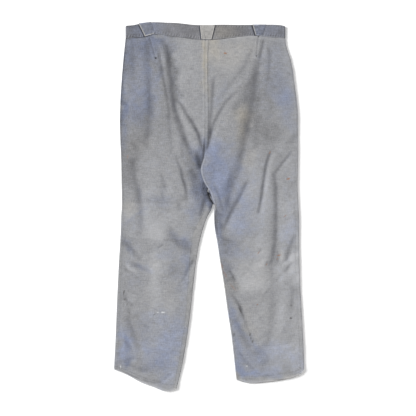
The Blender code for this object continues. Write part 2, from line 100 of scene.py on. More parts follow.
# The fly shield under the closure, and the waistband's underlap
SHIELD_WIDTH = 40.0
SHIELD_TOP_Y = 440.0
SHIELD_FOOT_Y = 235.0
SHIELD_CELLS = (60, 16)
TAB_LENGTH = 42.0
TAB_SLOPE = 9.0
TAB_RISE = 15.0
TAB_CLEARANCE = 2.0
HOOK_THICK = 0.8

# The photograph's frame: the garment is seen from straight above
PICTURE_PIXELS = 416
PIXEL_SIZE = 2.75
VIEW_MIDDLE = (-2.75, -4.1)

Section = namedtuple("Section", "side_x side_y side_turn inner_x inner_y inner_turn front_x")

LEFT_SECTIONS = [Section(*row) for row in (
    (-229.4, 461.5, 3.5, -9.6, 456.0, 0.0, -0.15), (-235.5, 403.0, 3.5, -11.9, 403.0, 0.0, -0.15),
    (-241.2, 330.0, 3.5, -11.2, 330.0, 0.0, -0.15), (-244.6, 260.0, 3.5, -10.6, 260.0, 0.0, -0.15),
    (-244.4, 197.0, 3.5, -11.0, 200.0, 0.0, -0.15), (-242.0, 140.0, 4.0, -13.6, 137.0, 0.0, -0.15),
    (-241.0, 100.0, 4.0, -22.6, 100.0, 0.0, -0.15), (-240.4, 62.0, 4.5, -11.3, 62.0, 0.0, -0.6),
    (-240.0, 40.0, 5.0, -1.8, 40.0, 3.6, -4.0), (-239.8, 22.0, 5.0, 4.6, 22.0, 13.0, 0.0),
    (-239.8, 6.0, 5.0, 9.6, 6.0, 20.0, 0.0), (-240.4, -10.0, 5.0, 5.5, -10.0, 19.5, 0.0),
    (-241.4, -26.0, 5.5, -3.5, -26.0, 17.0, 0.0), (-242.6, -65.0, 6.5, -17.6, -65.0, 23.0, 0.0),
    (-244.0, -95.0, 7.0, -25.4, -95.0, 22.0, 0.0), (-247.0, -140.0, 8.0, -33.7, -140.0, 19.0, 0.0),
    (-250.3, -205.0, 9.0, -42.0, -205.0, 14.5, 0.0),
    (-254.1, -290.0, 9.5, -51.0, -290.0, 12.5, 0.0),
    (-257.1, -367.0, 9.5, -62.3, -372.0, 11.5, 0.0),
    (-259.3, -410.0, 9.5, -73.5, -436.0, 11.0, 0.0),
    (-261.2, -447.0, 9.5, -88.8, -500.0, 11.0, 0.0),
)]
LEFT_FORK_ROW = 8

RIGHT_SECTIONS = [Section(*row) for row in (
    (209.6, 462.4, 3.5, -9.6, 456.0, 0.0, 0.15), (211.8, 444.0, 3.5, -10.5, 440.0, 0.0, 0.15),
    (224.5, 403.0, 3.5, -11.9, 403.0, 0.0, 0.15), (236.0, 330.0, 3.5, -11.2, 330.0, 0.0, 0.15),
    (244.0, 260.0, 4.0, -10.6, 260.0, 0.0, 0.15), (244.8, 197.0, 5.0, -11.0, 200.0, 0.0, 0.15),
    (244.8, 140.0, 6.0, -13.6, 137.0, 0.0, 0.15), (244.2, 100.0, 7.0, -22.6, 100.0, 0.0, 0.15),
    (243.2, 62.0, 8.0, -10.8, 62.0, 0.0, 0.3), (243.6, 40.0, 8.5, 3.4, 40.0, 0.0, -1.3),
    (244.8, 22.0, 9.0, 9.0, 22.0, 0.0, 5.3), (245.6, 5.0, 9.5, 13.4, 5.0, 3.6, 0.0),
    (246.0, -10.0, 10.0, 13.9, -10.0, 6.5, 0.0), (247.2, -26.0, 10.5, 14.0, -26.0, 9.0, 0.0),
    (247.6, -65.0, 11.0, 16.5, -65.0, 7.5, 0.0), (247.8, -95.0, 11.0, 22.0, -95.0, 5.0, 0.0),
    (248.3, -141.0, 11.0, 29.0, -141.0, 4.5, 0.0), (250.0, -205.0, 11.0, 39.6, -205.0, 4.5, 0.0),
    (254.4, -285.0, 11.0, 50.9, -285.0, 4.5, 0.0), (258.2, -356.0, 11.0, 61.6, -356.0, 4.5, 0.0),
    (260.4, -402.0, 11.0, 68.2, -412.0, 4.5, 0.0), (261.2, -447.0, 11.0, 75.1, -476.0, 4.5, 0.0),
)]
RIGHT_FORK_ROW = 11

# An edge across a half, as shares of the way from the side and the rise over a straight line
LEFT_WAIST_BOW = [(0.0, 0), (0.19, 4), (0.29, 9), (0.4, 13.5), (0.54, 10), (0.8, 4.5), (1.0, 0)]
LEFT_HEM_BOW = [(0.0, 0), (0.18, -3), (0.44, -13), (0.63, -15), (0.8, -17), (0.92, -10), (1.0, 0)]
LEFT_BAND_TOP = [
    (0.0, 496), (0.1, 498), (0.17, 501), (0.28, 505), (0.4, 506), (0.5, 505), (0.65, 503.5), (0.75, 501),
    (0.85, 498.5), (1.0, 497.6)
]
RIGHT_WAIST_BOW = [(0.0, 0), (0.14, 2.5), (0.3, 7), (0.45, 9), (0.58, 7), (0.76, 4), (1.0, 0)]
RIGHT_HEM_BOW = [(0.0, 0), (0.06, -11), (0.16, -17), (0.3, -19), (0.6, -18), (0.8, -14), (1.0, 0)]
RIGHT_BAND_TOP = [
    (0.0, 495), (0.04, 497), (0.1, 498.4), (0.2, 499), (0.4, 498.5), (0.6, 498.3), (0.8, 498.8),
    (1.0, 497.6)
]

# A fold runs through its points, from its top or its left end, along its dark side. A point is x, y
# and the share of the fold that is left there, where it isn't 1. Right is its width on the right or
# upper side, left is its width on the other, shade is the painted shade and grime laid along it, and
# sign is the half that has it, or 0 for both.
Fold = namedtuple("Fold", "left right height shade path sign", defaults=(0,))

FOLDS = [
    # The deep valley from the left dart to the fork
    Fold(10, 7, -2.7, 0.27, [
        (-138, 466, 0.5), (-127, 453, 0.8), (-117, 437, 1.05), (-112, 415, 1.1), (-109, 390, 1.05),
        (-105, 350), (-102, 318), (-98, 285), (-91, 255), (-80, 225, 1.15), (-70, 197, 1.15),
        (-62, 174), (-55, 156, 0.7), (-46, 134, 0.5)]),
    # Beside it, a narrow one on the left, and the branch that curves to the fork
    Fold(4, 4, -1.2, 0.17, [
        (-140, 434, 0.8), (-136, 410), (-132, 388), (-127, 360), (-121, 330), (-116, 300, 0.8),
        (-111, 264, 0.7), (-108, 236, 0.5)]),
    Fold(4, 5, 0.25, 0.0, [(-127, 440), (-123, 390), (-113, 320)]),
    Fold(7, 6, -0.7, 0.09, [(-113, 262, 0.7), (-108, 220), (-106, 170, 0.9), (-104, 135, 0.6)]),
    Fold(5, 4.5, -1.7, 0.24, [
        (-98, 300, 0.5), (-86, 290, 0.8), (-72, 273, 0.9), (-60, 252), (-50, 238), (-41, 223, 1.2),
        (-30, 201, 1.2), (-23, 176, 1.2), (-19, 156, 1.1)]),
    Fold(7, 8, 0.9, 0.0, [(-74, 262), (-62, 222), (-48, 178)]),
    Fold(5, 4, -0.8, 0.10, [(-76, 178), (-74, 158), (-68, 130)]),
    # Left hip
    Fold(10, 9, -1.0, 0.16, [
        (-168, 468, 0.8), (-168, 420), (-168, 380), (-165, 330), (-163, 290, 1.1), (-164, 250, 1.1),
        (-167, 215, 1.1), (-171, 185, 1.1), (-180, 158, 0.6)]),
    Fold(6, 6, -0.6, 0.06, [(-210, 470), (-210, 420), (-208, 380, 0.7), (-206, 340, 0.4)]),
    Fold(12, 14, 0.7, 0.0, [(-190, 410), (-192, 330), (-196, 250)]),
    Fold(12, 12, 0.7, 0.0, [(-146, 370), (-140, 290), (-134, 200)]),
    Fold(5, 5, -0.6, 0.10, [(-218, 184), (-206, 170, 0.8), (-204, 148)]),
    # Left thigh
    Fold(4.5, 5, -1.8, 0.22, [
        (-96, 148, 0.4), (-86, 124, 0.6), (-78, 102, 0.9), (-72, 76, 1.2), (-66, 58, 1.2),
        (-62, 34, 0.8), (-60, 8, 0.5)]),
    Fold(9, 7, -1.2, 0.14, [
        (-214, 142, 0.9), (-208, 108), (-202, 76), (-195, 48), (-190, 16), (-188, -22, 0.9),
        (-187, -56, 0.6), (-190, -92, 0.5)]),
    Fold(5, 5, -0.9, 0.10, [(-134, 94), (-124, 66), (-116, 32)]),
    Fold(4, 4, -0.8, 0.09, [(-132, 58), (-129, 40), (-126, 14)]),
    Fold(6, 6, -0.9, 0.11, [(-88, 10), (-81, -2), (-76, -14)]),
    Fold(3, 3, -0.6, 0.11, [(-47, -67), (-38, -61), (-27, -58)]),
    Fold(2, 2, -0.4, 0.04, [(-156, 54), (-128, 53), (-100, 56)]),
    Fold(16, 16, 1.0, 0.0, [(-166, 110), (-158, 40), (-158, -30)]),
    Fold(12, 12, 0.9, 0.0, [(-100, 70), (-96, 20), (-98, -40)]),
    # Left knee
    Fold(3, 3, -0.3, 0.02, [
        (-243, -80), (-200, -89), (-150, -94, 0.9), (-90, -91, 0.8), (-34, -88, 0.8)]),
    Fold(6.5, 6, -1.5, 0.15, [
        (-246, -92, 0.9), (-226, -105), (-208, -120), (-195, -136, 0.9), (-182, -154, 0.5)]),
    Fold(6, 5, -1.3, 0.15, [
        (-222, -149, 0.7), (-206, -157), (-190, -164), (-168, -177, 0.6), (-148, -186, 0.4)]),
    Fold(5, 6, -0.8, 0.07, [(-240, -166), (-222, -176), (-202, -192)]),
    Fold(5, 5, 1.3, 0.0, [(-228, -158), (-214, -172), (-200, -186)]),
    Fold(9, 7, -1.6, 0.13, [
        (-108, -48, 0.6), (-105, -68, 0.9), (-96, -88), (-84, -103, 1.2), (-66, -112),
        (-50, -121, 0.8), (-42, -132, 0.6)]),
    Fold(4.5, 4, -1.4, 0.12, [
        (-38, -138, 0.9), (-47, -155), (-57, -173), (-65, -190, 0.8), (-78, -210, 0.6),
        (-94, -232, 0.3)]),
    Fold(3, 3, -0.8, 0.13, [(-143, -117), (-132, -108), (-121, -104)]),
    Fold(3, 3, -0.6, 0.07, [(-190, -133), (-168, -128), (-143, -119)]),
    Fold(14, 16, 1.0, 0.0, [(-160, -120), (-132, -150), (-122, -196)]),
    # Left shin
    Fold(2, 2, -0.5, 0.10, [(-189, -262), (-164, -274), (-137, -287)]),
    Fold(4, 4, -1.0, 0.13, [(-236, -236), (-222, -262), (-202, -277)]),
    Fold(4, 4, -0.6, 0.09, [(-222, -280), (-220, -290), (-213, -301)]),
    Fold(9, 8, -1.3, 0.12, [
        (-229, -294, 0.7), (-217, -320), (-209, -340, 1.1), (-203, -360), (-196, -380, 0.9),
        (-186, -402, 0.6)]),
    Fold(5, 5, -1.1, 0.13, [(-234, -358, 0.8), (-223, -380), (-213, -400)]),
    Fold(5, 6, 0.9, 0.0, [(-241, -300), (-236, -350), (-232, -404)]),
    Fold(5, 5, -0.7, 0.12, [(-182, -325), (-172, -330), (-163, -338)]),
    Fold(3, 3, -0.4, 0.07, [(-169, -318), (-158, -319), (-147, -318)]),
    Fold(6, 5, -0.7, 0.04, [(-120, -232), (-92, -236), (-68, -224)]),
    Fold(18, 18, 1.0, 0.0, [(-112, -250), (-104, -340), (-112, -430)]),
    Fold(3, 3, -0.9, 0.11, [
        (-187, -470, 0.8), (-165, -480), (-142, -483), (-125, -477), (-110, -466), (-97, -453, 0.7)]),
    Fold(5, 5, -0.8, 0.08, [(-198, -444), (-180, -450), (-160, -446)]),
    Fold(4, 5, -0.8, 0.10, [(-232, -426, 0.8), (-212, -417), (-192, -420), (-172, -428, 0.7)]),
    # The pocket where the lap crosses the fork, and the shade along the left inseam below it
    Fold(7, 7.5, -2.5, 0.30, [
        (-35, 164, 0.2), (-34, 150, 0.5), (-31, 136, 0.9), (-28, 122, 1.2), (-25, 108, 1.2),
        (-22, 95, 0.8)], -1),
    Fold(2.6, 3, -1.2, 0.34, [
        (-12, 186, 0.5), (-14, 166), (-15, 148), (-17, 132), (-21, 116, 0.8)], -1),
    Fold(8, 6, -1.0, 0.14, [(-52, 108), (-42, 88), (-28, 70)], -1),
    Fold(5, 5, -1.4, 0.22, [(-20, 68, 0.8), (-10, 56), (-2, 42)], -1),
    Fold(4, 4, -2.4, 0.45, [(-5, 50, 0.7), (-1, 32, 1.2), (4, 18), (11, 5, 0.8)], -1),
    Fold(6, 5, -1.4, 0.22, [(-10, 42, 0.8), (-15, 10), (-20, -12), (-26, -38, 0.7)], -1),
    Fold(3, 3, 0.0, 0.20, [(8, 6), (2, -10), (-8, -30)], -1),
    # Right seat: the deep valley, the branch that runs to the fork, and the shade by the seam
    Fold(4, 4, -1.5, 0.18, [(151, 465), (146, 440), (140, 414), (136, 398, 0.8)]),
    Fold(13, 8, -2.4, 0.20, [
        (138, 410, 0.7), (134, 390, 0.9), (130, 365, 1.1), (126, 338, 1.15), (121, 308, 1.1),
        (116, 278, 1.05), (111, 248), (105, 218, 1.1), (99, 190, 1.1), (94, 162, 1.1), (88, 138),
        (82, 106, 0.7), (72, 80, 0.6), (58, 46, 0.5)]),
    Fold(7, 6, -1.1, 0.10, [(66, 66, 0.7), (56, 34), (50, 4), (47, -14, 0.8)]),
    Fold(7, 7, -0.9, 0.09, [(113, 352), (104, 320), (98, 276)]),
    Fold(4.5, 4, -1.8, 0.20, [
        (86, 320, 0.4), (66, 306, 0.6), (48, 288, 0.9), (34, 268), (22, 246), (13, 229, 1.3),
        (7, 208, 1.3), (2, 186, 1.2), (-3, 168), (-9, 150, 0.8)]),
    Fold(4.5, 4, -1.4, 0.19, [
        (15, 360, 0.8), (11, 330), (9, 300), (7, 270, 0.8), (4, 240), (3, 215, 1.1), (1, 192)]),
    Fold(2, 2, -0.4, 0.06, [(2, 367), (7, 388), (26, 396)]),
    Fold(5, 5, -0.8, 0.10, [(161, 452, 0.9), (166, 404), (162, 362), (157, 336)]),
    Fold(6, 6, -0.8, 0.08, [
        (123, 442, 0.8), (108, 408), (90, 374, 0.9), (66, 346, 0.7), (44, 318, 0.6), (26, 292, 0.5)]),
    Fold(20, 20, 0.9, 0.0, [(62, 400), (66, 350), (60, 320)]),
    Fold(12, 16, 1.0, 0.0, [(56, 262), (44, 216), (30, 160)]),
    Fold(18, 18, 0.7, 0.0, [(190, 400), (192, 320), (184, 236)]),
    # Right thigh
    Fold(4.5, 4, -2.1, 0.25, [
        (172, 156, 0.6), (162, 132, 0.9), (155, 104), (151, 76, 1.1), (147, 48, 1.1), (143, 22),
        (139, -2, 0.8), (133, -26, 0.7)]),
    Fold(5, 7, 0.55, 0.0, [(174, 132), (163, 84), (155, 30)]),
    Fold(4.5, 4.5, -1.3, 0.13, [(232, 155, 0.5), (218, 140), (203, 122), (190, 104), (175, 87, 0.9)]),
    Fold(7, 6, -0.9, 0.10, [(244, 206), (231, 184), (214, 165, 0.7)]),
    Fold(8, 5, -1.9, 0.20, [
        (174, 98, 0.7), (181, 74), (184, 48), (184, 18, 0.9), (184, -20), (184, -56),
        (182, -90, 0.9), (178, -120, 0.9), (172, -146, 0.8), (158, -168, 0.6)]),
    Fold(5, 4, -1.0, 0.13, [(188, -116), (190, -140), (184, -162)]),
    Fold(5.5, 5.5, -1.6, 0.18, [
        (107, 74, 0.7), (96, 52), (84, 28), (73, 6), (62, -12, 1.1), (54, -30), (45, -50, 0.6),
        (33, -70, 0.3)]),
    Fold(6, 6, -1.0, 0.10, [(65, 98), (53, 62), (46, 34)]),
    Fold(3, 3, -0.7, 0.08, [(14, 62), (26, 30), (40, -14)]),
    Fold(3, 3, -1.3, 0.14, [(17, -4), (28, -20), (46, -28)]),
    Fold(6, 3, -0.6, 0.26, [(17, -4), (18, -44), (25, -84, 0.8)]),
    Fold(14, 14, 1.0, 0.0, [(212, 90), (214, 0), (212, -60)]),
    Fold(14, 14, 0.9, 0.0, [(118, 90), (116, 30), (112, -40)]),
    Fold(2, 2, -0.5, 0.10, [(222, 73), (230, 62), (239, 71)]),
    Fold(2, 2, -0.5, 0.10, [(203, -25), (214, -36), (231, -30)]),
    # Right knee
    Fold(3, 4, -1.0, 0.11, [(25, -81), (48, -91), (75, -98)]),
    Fold(2.5, 2.5, -0.8, 0.15, [(136, -129), (140, -122), (147, -115)]),
    Fold(7, 6, -1.6, 0.15, [
        (239, -68, 0.7), (230, -90), (222, -112, 1.1), (217, -134, 1.1), (207, -157, 1.1)]),
    Fold(4, 4, -1.3, 0.13, [(236, -148, 0.5), (221, -161), (212, -173), (205, -184, 0.7)]),
    Fold(2.5, 3, -0.4, 0.05, [(200, -188, 0.9), (178, -210), (160, -232), (142, -257, 0.7)]),
    Fold(3, 3, -0.4, 0.04, [(186, -178), (168, -196), (146, -220, 0.7)]),
    Fold(3, 3, -0.9, 0.12, [(161, -146, 0.8), (158, -156), (154, -166)]),
    Fold(6, 6, 1.0, 0.0, [(200, -158), (184, -182), (166, -202)]),
    Fold(3, 3, -1.2, 0.15, [(52, -171), (64, -188), (73, -210)]),
    Fold(18, 20, 1.0, 0.0, [(98, -120), (104, -180), (110, -240)]),
    # Right shin
    Fold(4, 4, -1.9, 0.24, [
        (54, -230, 0.35), (65, -246, 0.55), (76, -259, 0.8), (84, -272, 1.1), (88, -284, 1.2),
        (93, -297), (98, -310, 0.5), (106, -332, 0.25), (115, -356, 0.25), (124, -378, 0.25)]),
    Fold(8, 8, -1.2, 0.09, [
        (70, -296, 0.3), (78, -320, 0.7), (90, -346, 1.1), (101, -370, 1.2), (116, -398, 0.9)]),
    Fold(4, 4, -1.1, 0.12, [(76, -393), (94, -414), (111, -436, 0.9), (131, -453, 0.6)]),
    Fold(8, 7, -0.7, 0.06, [
        (118, -396, 0.9), (142, -400, 0.9), (160, -411, 0.8), (156, -428, 1.2), (138, -441, 0.9)]),
    Fold(11, 10, -1.0, 0.07, [
        (187, -96, 0.6), (178, -130, 1.1), (174, -168, 1.1), (171, -206, 0.8), (175, -250, 0.9),
        (175, -290, 1.1), (170, -330), (162, -362, 0.9), (153, -392, 0.6)]),
    Fold(3, 3, -0.7, 0.06, [(149, -384), (192, -380), (240, -370)]),
    Fold(6, 5, 0.9, 0.0, [(168, -394), (210, -388), (256, -380)]),
    Fold(6, 6, -1.0, 0.10, [(230, -210), (230, -250), (224, -294)]),
    Fold(5, 5, -0.6, 0.07, [(217, -319), (208, -336), (201, -354)]),
    Fold(10, 10, 1.0, 0.0, [(200, -260), (202, -310), (196, -360)]),
    Fold(12, 12, 1.0, 0.0, [(132, -280), (134, -320), (138, -360)]),
]
FOLD_STEP = 7.0
FOLD_END = 16.0
FOLD_REACH = 2.8
# How strongly the painted shade and grime of the folds darken the cloth
FOLD_SHADE_AND_GRIME = 2.3

# Each fold's lowest or highest line lies a little further from the key light than its dark side
FOLD_SHIFT = 0.6
FOLD_SPREAD = (1.3, 2.4)
AWAY_FROM_LIGHT = (0.93, -0.37)

# Fine wrinkles all over, drawn out along a slant in degrees on each half
WRINKLE_SLANT = {-1: -22.0, 1: 38.0}
WRINKLE_STRETCH = 6.0
WRINKLE_HEIGHT = 0.16

# A dart is a sewn fold that narrows to its tip
Dart = namedtuple("Dart", "x0 y0 x1 y1 half_width depth")

DARTS = [
    Dart(-163.5, 464.0, -146.6, 408.0, 2.6, 0.9),
    Dart(136.8, 470.0, 130.2, 418.0, 2.4, 0.7),
]

# A patch of fading, grime and painted shade: its half length and half width, its turn from the X axis in
# degrees, how much lighter it is (the dark ones along folds and at the fork are painted shade), how blue
# (or khaki, below zero), how much grime and painted shade it holds, and its half if one
Patch = namedtuple("Patch", "x y along across turn light hue grime sign", defaults=(0, 0, 0))

PATCHES = [Patch(*row) for row in (
    # Left seat and hip
    (-140, 384, 50, 12, 93, -0.07, 0.35), (-132, 260, 90, 26, 92, -0.045),
    (-95, 376, 80, 9, 94, -0.09, 0.1), (-206, 270, 60, 26, 90, -0.09),
    (-190, 450, 50, 34, 0, -0.09, 0.60), (-206, 384, 44, 22, 90, -0.08, 0.1),
    (-240, 290, 110, 9, 92, -0.10, 0.6), (-50, 236, 36, 12, 112, -0.09),
    (-120, 430, 30, 30, 0, -0.03, 0.25), (-150, 458, 26, 12, 10, -0.03, 0.45, 0.02),
    (-212, 424, 40, 34, 90, -0.02, 0.15, 0.02), (-166, 412, 44, 24, 92, -0.03, 0.22, 0.03),
    (-58, 400, 90, 26, 92, 0.02, -0.06), (-100, 384, 60, 9, 95, -0.05, 0.0, 0.05),
    (-52, 236, 44, 16, 118, 0.05), (-172, 356, 44, 26, 92, -0.03, 0.6, 0.02),
    (-208, 284, 46, 34, 90, -0.01, 0.62), (-164, 276, 36, 22, 90, -0.03, 0.50, 0.03),
    (-224, 390, 40, 14, 88, -0.05, 0.40), (-178, 226, 36, 26, 90, -0.07, 0.10, 0.03),
    (-186, 176, 34, 26, 0, -0.04, -0.15, 0.04), (-90, 320, 40, 7, 96, -0.04, 0.0, 0.04),
    (-12, 404, 70, 6, 92, 0.0, -0.95), (-12, 440, 50, 12, 90, 0.02, -0.50),
    (-151, 386, 20, 11, 90, 0.0, -0.40), (-132, 300, 120, 30, 91, -0.02),
    # Right seat and hip
    (128, 250, 110, 9, 82, -0.10), (168, 330, 60, 20, 90, -0.06), (80, 296, 40, 16, 80, -0.10),
    (90, 190, 60, 14, 80, 0.0, -0.25), (10, 452, 40, 14, 92, 0.03, -0.60),
    (198, 156, 28, 10, 30, 0.03), (228, 256, 50, 16, 98, 0.0, 0.1), (66, 418, 56, 36, 4, 0.05, -0.36),
    (62, 300, 50, 18, 62, 0.02, -0.05), (112, 300, 60, 14, 80, -0.05, 0.0, 0.05),
    (92, 246, 24, 24, 0, 0.0, -0.70), (92, 196, 28, 14, 90, -0.03, -0.30, 0.02),
    (30, 300, 34, 18, 88, 0.0, 0.20, 0.04), (30, 350, 30, 22, 30, 0.0, -0.05, 0.03),
    (44, 200, 50, 30, 60, -0.01), (180, 380, 60, 34, 90, -0.03, 0.30, 0.03),
    (196, 440, 30, 20, 0, -0.03, 0.05), (212, 300, 40, 22, 100, -0.03, 0.45),
    (224, 236, 24, 12, 90, -0.01, 0.20), (158, 206, 40, 38, 90, -0.08, -0.06, 0.08),
    (150, 290, 40, 24, 90, -0.04, 0.05, 0.03), (195, 293, 18, 16, 0, 0.0, 0.35),
    # Fork and inner thighs, with painted shade in the pocket and the gap at the fork
    (-28, 124, 32, 12, 108, -0.17, 0.95, 0.05, -1), (-42, 66, 56, 18, 100, -0.07, 0.0, 0.0, -1),
    (-6, 26, 36, 10, -68, -0.17, 0.9, 0.0, -1), (-12, 70, 30, 12, -80, -0.10, 0.5, 0.0, -1),
    (8, 4, 14, 7, -62, -0.24, 0.3, 0.05, -1), (-12, 170, 30, 9, 70, -0.13, 0.2),
    (8, 158, 34, 34, 0, -0.01, 0.42), (24, 108, 46, 40, 90, -0.03, 0.85),
    (28, 50, 36, 28, 90, -0.02, 0.85), (-32, 40, 40, 20, 100, -0.06, 0.65, 0.06),
    (-42, -16, 36, 20, 72, -0.02, 0.45), (-50, 92, 42, 22, 100, -0.06, 0.1, 0.05),
    (48, -16, 32, 22, 60, -0.03, 0.50, 0.03), (26, -46, 30, 9, 94, -0.07, 0.40, 0.06),
    (38, 76, 20, 16, 0, 0.07), (52, 20, 40, 10, 80, -0.03, 0.20, 0.06),
    (29, 16, 18, 8, 90, -0.03, 0.40),
    # Left thigh
    (-214, 140, 60, 26, 96, -0.08, -0.05, 0.07), (-214, 78, 40, 18, 96, -0.05, 0.0, 0.06),
    (-142, 40, 32, 26, 0, 0.05, 0.05), (-196, 26, 20, 10, 90, -0.05, 0.20, 0.03),
    (-150, -40, 70, 24, 4, 0.06), (-216, -20, 18, 22, 90, 0.07, -0.1),
    (-152, -72, 34, 18, 4, 0.11, -0.05), (-204, -36, 34, 7, 40, -0.02, 0.30),
    (-136, 14, 26, 10, 0, -0.03, 0.25, 0.02), (-196, -36, 44, 30, 60, 0.0, 0.1),
    (-210, -10, 18, 22, 0, 0.0, -0.25), (-190, -50, 26, 18, 0, -0.04), (-135, -10, 24, 16, 0, -0.03),
    # Left knee and shin
    (-128, -372, 60, 34, 70, 0.0, 0.30), (-120, -440, 30, 24, 10, 0.0, 0.40),
    (-222, -108, 24, 12, -40, -0.05, 0.40, 0.05), (-186, -170, 34, 8, -22, -0.02, 0.35),
    (-204, -132, 20, 12, 0, 0.03), (-124, -130, 24, 9, -8, 0.0, 0.25),
    (-70, -98, 26, 16, 0, -0.02, 0.35, 0.03), (-96, -176, 24, 15, 84, -0.04, 0.20, 0.05),
    (-60, -150, 26, 12, 70, -0.04, 0.30, 0.02), (-148, -158, 42, 30, 70, 0.08, -0.08),
    (-200, -206, 24, 20, 40, -0.02, 0.10, 0.03), (-176, -256, 50, 30, 80, 0.0, -0.05),
    (-110, -270, 50, 26, 84, 0.03, -0.06), (-198, -324, 44, 14, 100, -0.04, 0.0, 0.04),
    (-80, -330, 50, 18, 84, 0.0, 0.35), (-112, -372, 40, 26, 50, 0.02, 0.40),
    (-234, -368, 46, 13, 96, 0.01, 0.62), (-226, -428, 14, 8, 60, -0.05, 0.40, 0.08),
    (-214, -172, 20, 5, -42, 0.12), (-68, -110, 24, 13, -28, -0.08, 0.1),
    (-150, -440, 30, 14, 0, -0.03, 0.42, 0.03), (-184, -400, 36, 20, 30, 0.03, 0.10),
    (-214, -434, 22, 9, -14, -0.04, 0.05, 0.10), (-184, -447, 22, 7, -14, -0.04, 0.0, 0.05),
    (-104, -474, 22, 20, 60, 0.05, 0.45), (-150, -244, 70, 16, 88, 0.08),
    (-100, -112, 34, 24, 0, 0.0, 0.1), (-188, -330, 60, 14, 88, 0.0, 0.1),
    (-174, -380, 50, 14, 90, 0.0, 0.35), (-98, -412, 24, 14, 60, 0.0, 0.45),
    (-70, -195, 60, 12, 88, 0.0, 0.35), (-230, -394, 44, 24, 86, 0.0, 0.35),
    (-142, -305, 26, 22, 0, 0.0, 0.35),
    # Right thigh
    (208, 70, 40, 20, 90, -0.09), (86, 36, 40, 14, 50, 0.0, 0.35), (24, -80, 60, 12, -76, 0.0, 0.55),
    (146, 6, 66, 26, 90, 0.06), (128, 72, 56, 28, 70, 0.05, 0.10), (84, 130, 40, 14, 76, 0.0, 0.30),
    (114, 128, 26, 16, 60, 0.03, -0.30), (206, 86, 40, 28, 70, 0.06),
    (70, 70, 40, 26, 70, -0.02, 0.35, 0.02), (96, -20, 40, 24, 60, 0.01, 0.45),
    (92, -60, 34, 22, 0, 0.03, 0.40), (148, -30, 60, 20, 84, 0.04, 0.12),
    (220, 0, 70, 24, 90, 0.09, 0.05), (224, -66, 30, 18, 50, 0.06, 0.30, 0.02),
    (72, -46, 34, 16, 30, 0.02, 0.10), (98, 18, 16, 14, 0, 0.0, 0.35), (32, -64, 44, 12, -74, -0.08),
    (237, -78, 10, 16, 50, 0.06),
    # Right knee and shin
    (208, -258, 60, 26, 90, 0.06), (180, -350, 60, 50, 90, 0.06), (148, -158, 18, 12, 60, 0.10),
    (228, -143, 24, 6, 52, 0.14), (124, -408, 40, 24, 40, 0.0, 0.35),
    (150, -460, 40, 14, 0, 0.0, 0.50), (178, -112, 50, 11, 90, -0.02), (178, -172, 34, 12, 82, -0.01),
    (118, -212, 34, 18, 0, 0.07), (88, -452, 18, 16, 0, -0.05, 0.3),
    (116, -360, 44, 10, 110, 0.0, 0.2), (174, -404, 30, 22, 0, 0.0, 0.35),
    (60, -112, 30, 20, 90, -0.06, 0.38, 0.08), (124, -118, 44, 24, 0, 0.06, -0.02),
    (116, -190, 56, 30, 20, 0.09, -0.10), (210, -130, 40, 20, 70, 0.06, 0.05),
    (198, -134, 10, 16, 0, 0.05, -0.20), (236, -184, 30, 13, 84, 0.15), (206, -190, 26, 12, 60, 0.10),
    (96, -128, 30, 10, 0, 0.0, 0.30), (48, -176, 40, 12, -68, -0.06, 0.15, 0.09),
    (62, -218, 24, 14, -40, -0.05, -0.20, 0.09), (146, -290, 60, 34, 84, 0.03, -0.08),
    (200, -310, 50, 14, 92, 0.02), (242, -330, 80, 14, 92, 0.07, -0.05),
    (72, -304, 40, 13, 112, 0.0, 0.70), (78, -400, 56, 16, 104, 0.02, 0.60),
    (106, -362, 40, 12, 118, -0.02, 0.2, 0.02), (108, -456, 34, 14, 0, 0.03, 0.75),
    (142, -418, 26, 20, 0, -0.02, 0.15), (214, -404, 54, 26, 8, 0.10, 0.18),
    (240, -430, 20, 18, 0, 0.08, 0.30), (180, -446, 30, 12, 0, 0.06, 0.20),
    (196, -470, 50, 8, 8, 0.06, -0.40), (150, -150, 70, 26, 84, 0.05, -0.05),
    (236, -190, 10, 26, 0, 0.04), (226, -158, 16, 4, 48, 0.10), (196, -176, 60, 5, 44, 0.06),
    (84, -470, 24, 8, 0, 0.03, -0.3), (110, -330, 10, 50, 24, 0.0, -0.25),
)]
PATCH_DRIFT = 11.0
PATCH_RAGGED = 0.5

# A line left by storage: darker on one side of it than on the other, as it fades over its reach; this is
# partly fading and partly the painted light and shade of the crease
Step = namedtuple("Step", "x0 y0 x1 y1 reach light")

STEPS = [
    Step(-232, 10.5, -60, 8.0, 15, -0.035),
    Step(-236, -88.0, -38, -89.0, 16, 0.03),
    Step(24, -83.0, 76, -97.0, 14, 0.045),
    Step(70, -96.0, 168, -96.0, 10, 0.012),
]

# Small marks on the upper side: half sizes in millimetres, turn in degrees and strength
Mark = namedtuple("Mark", "x y along across turn strength")

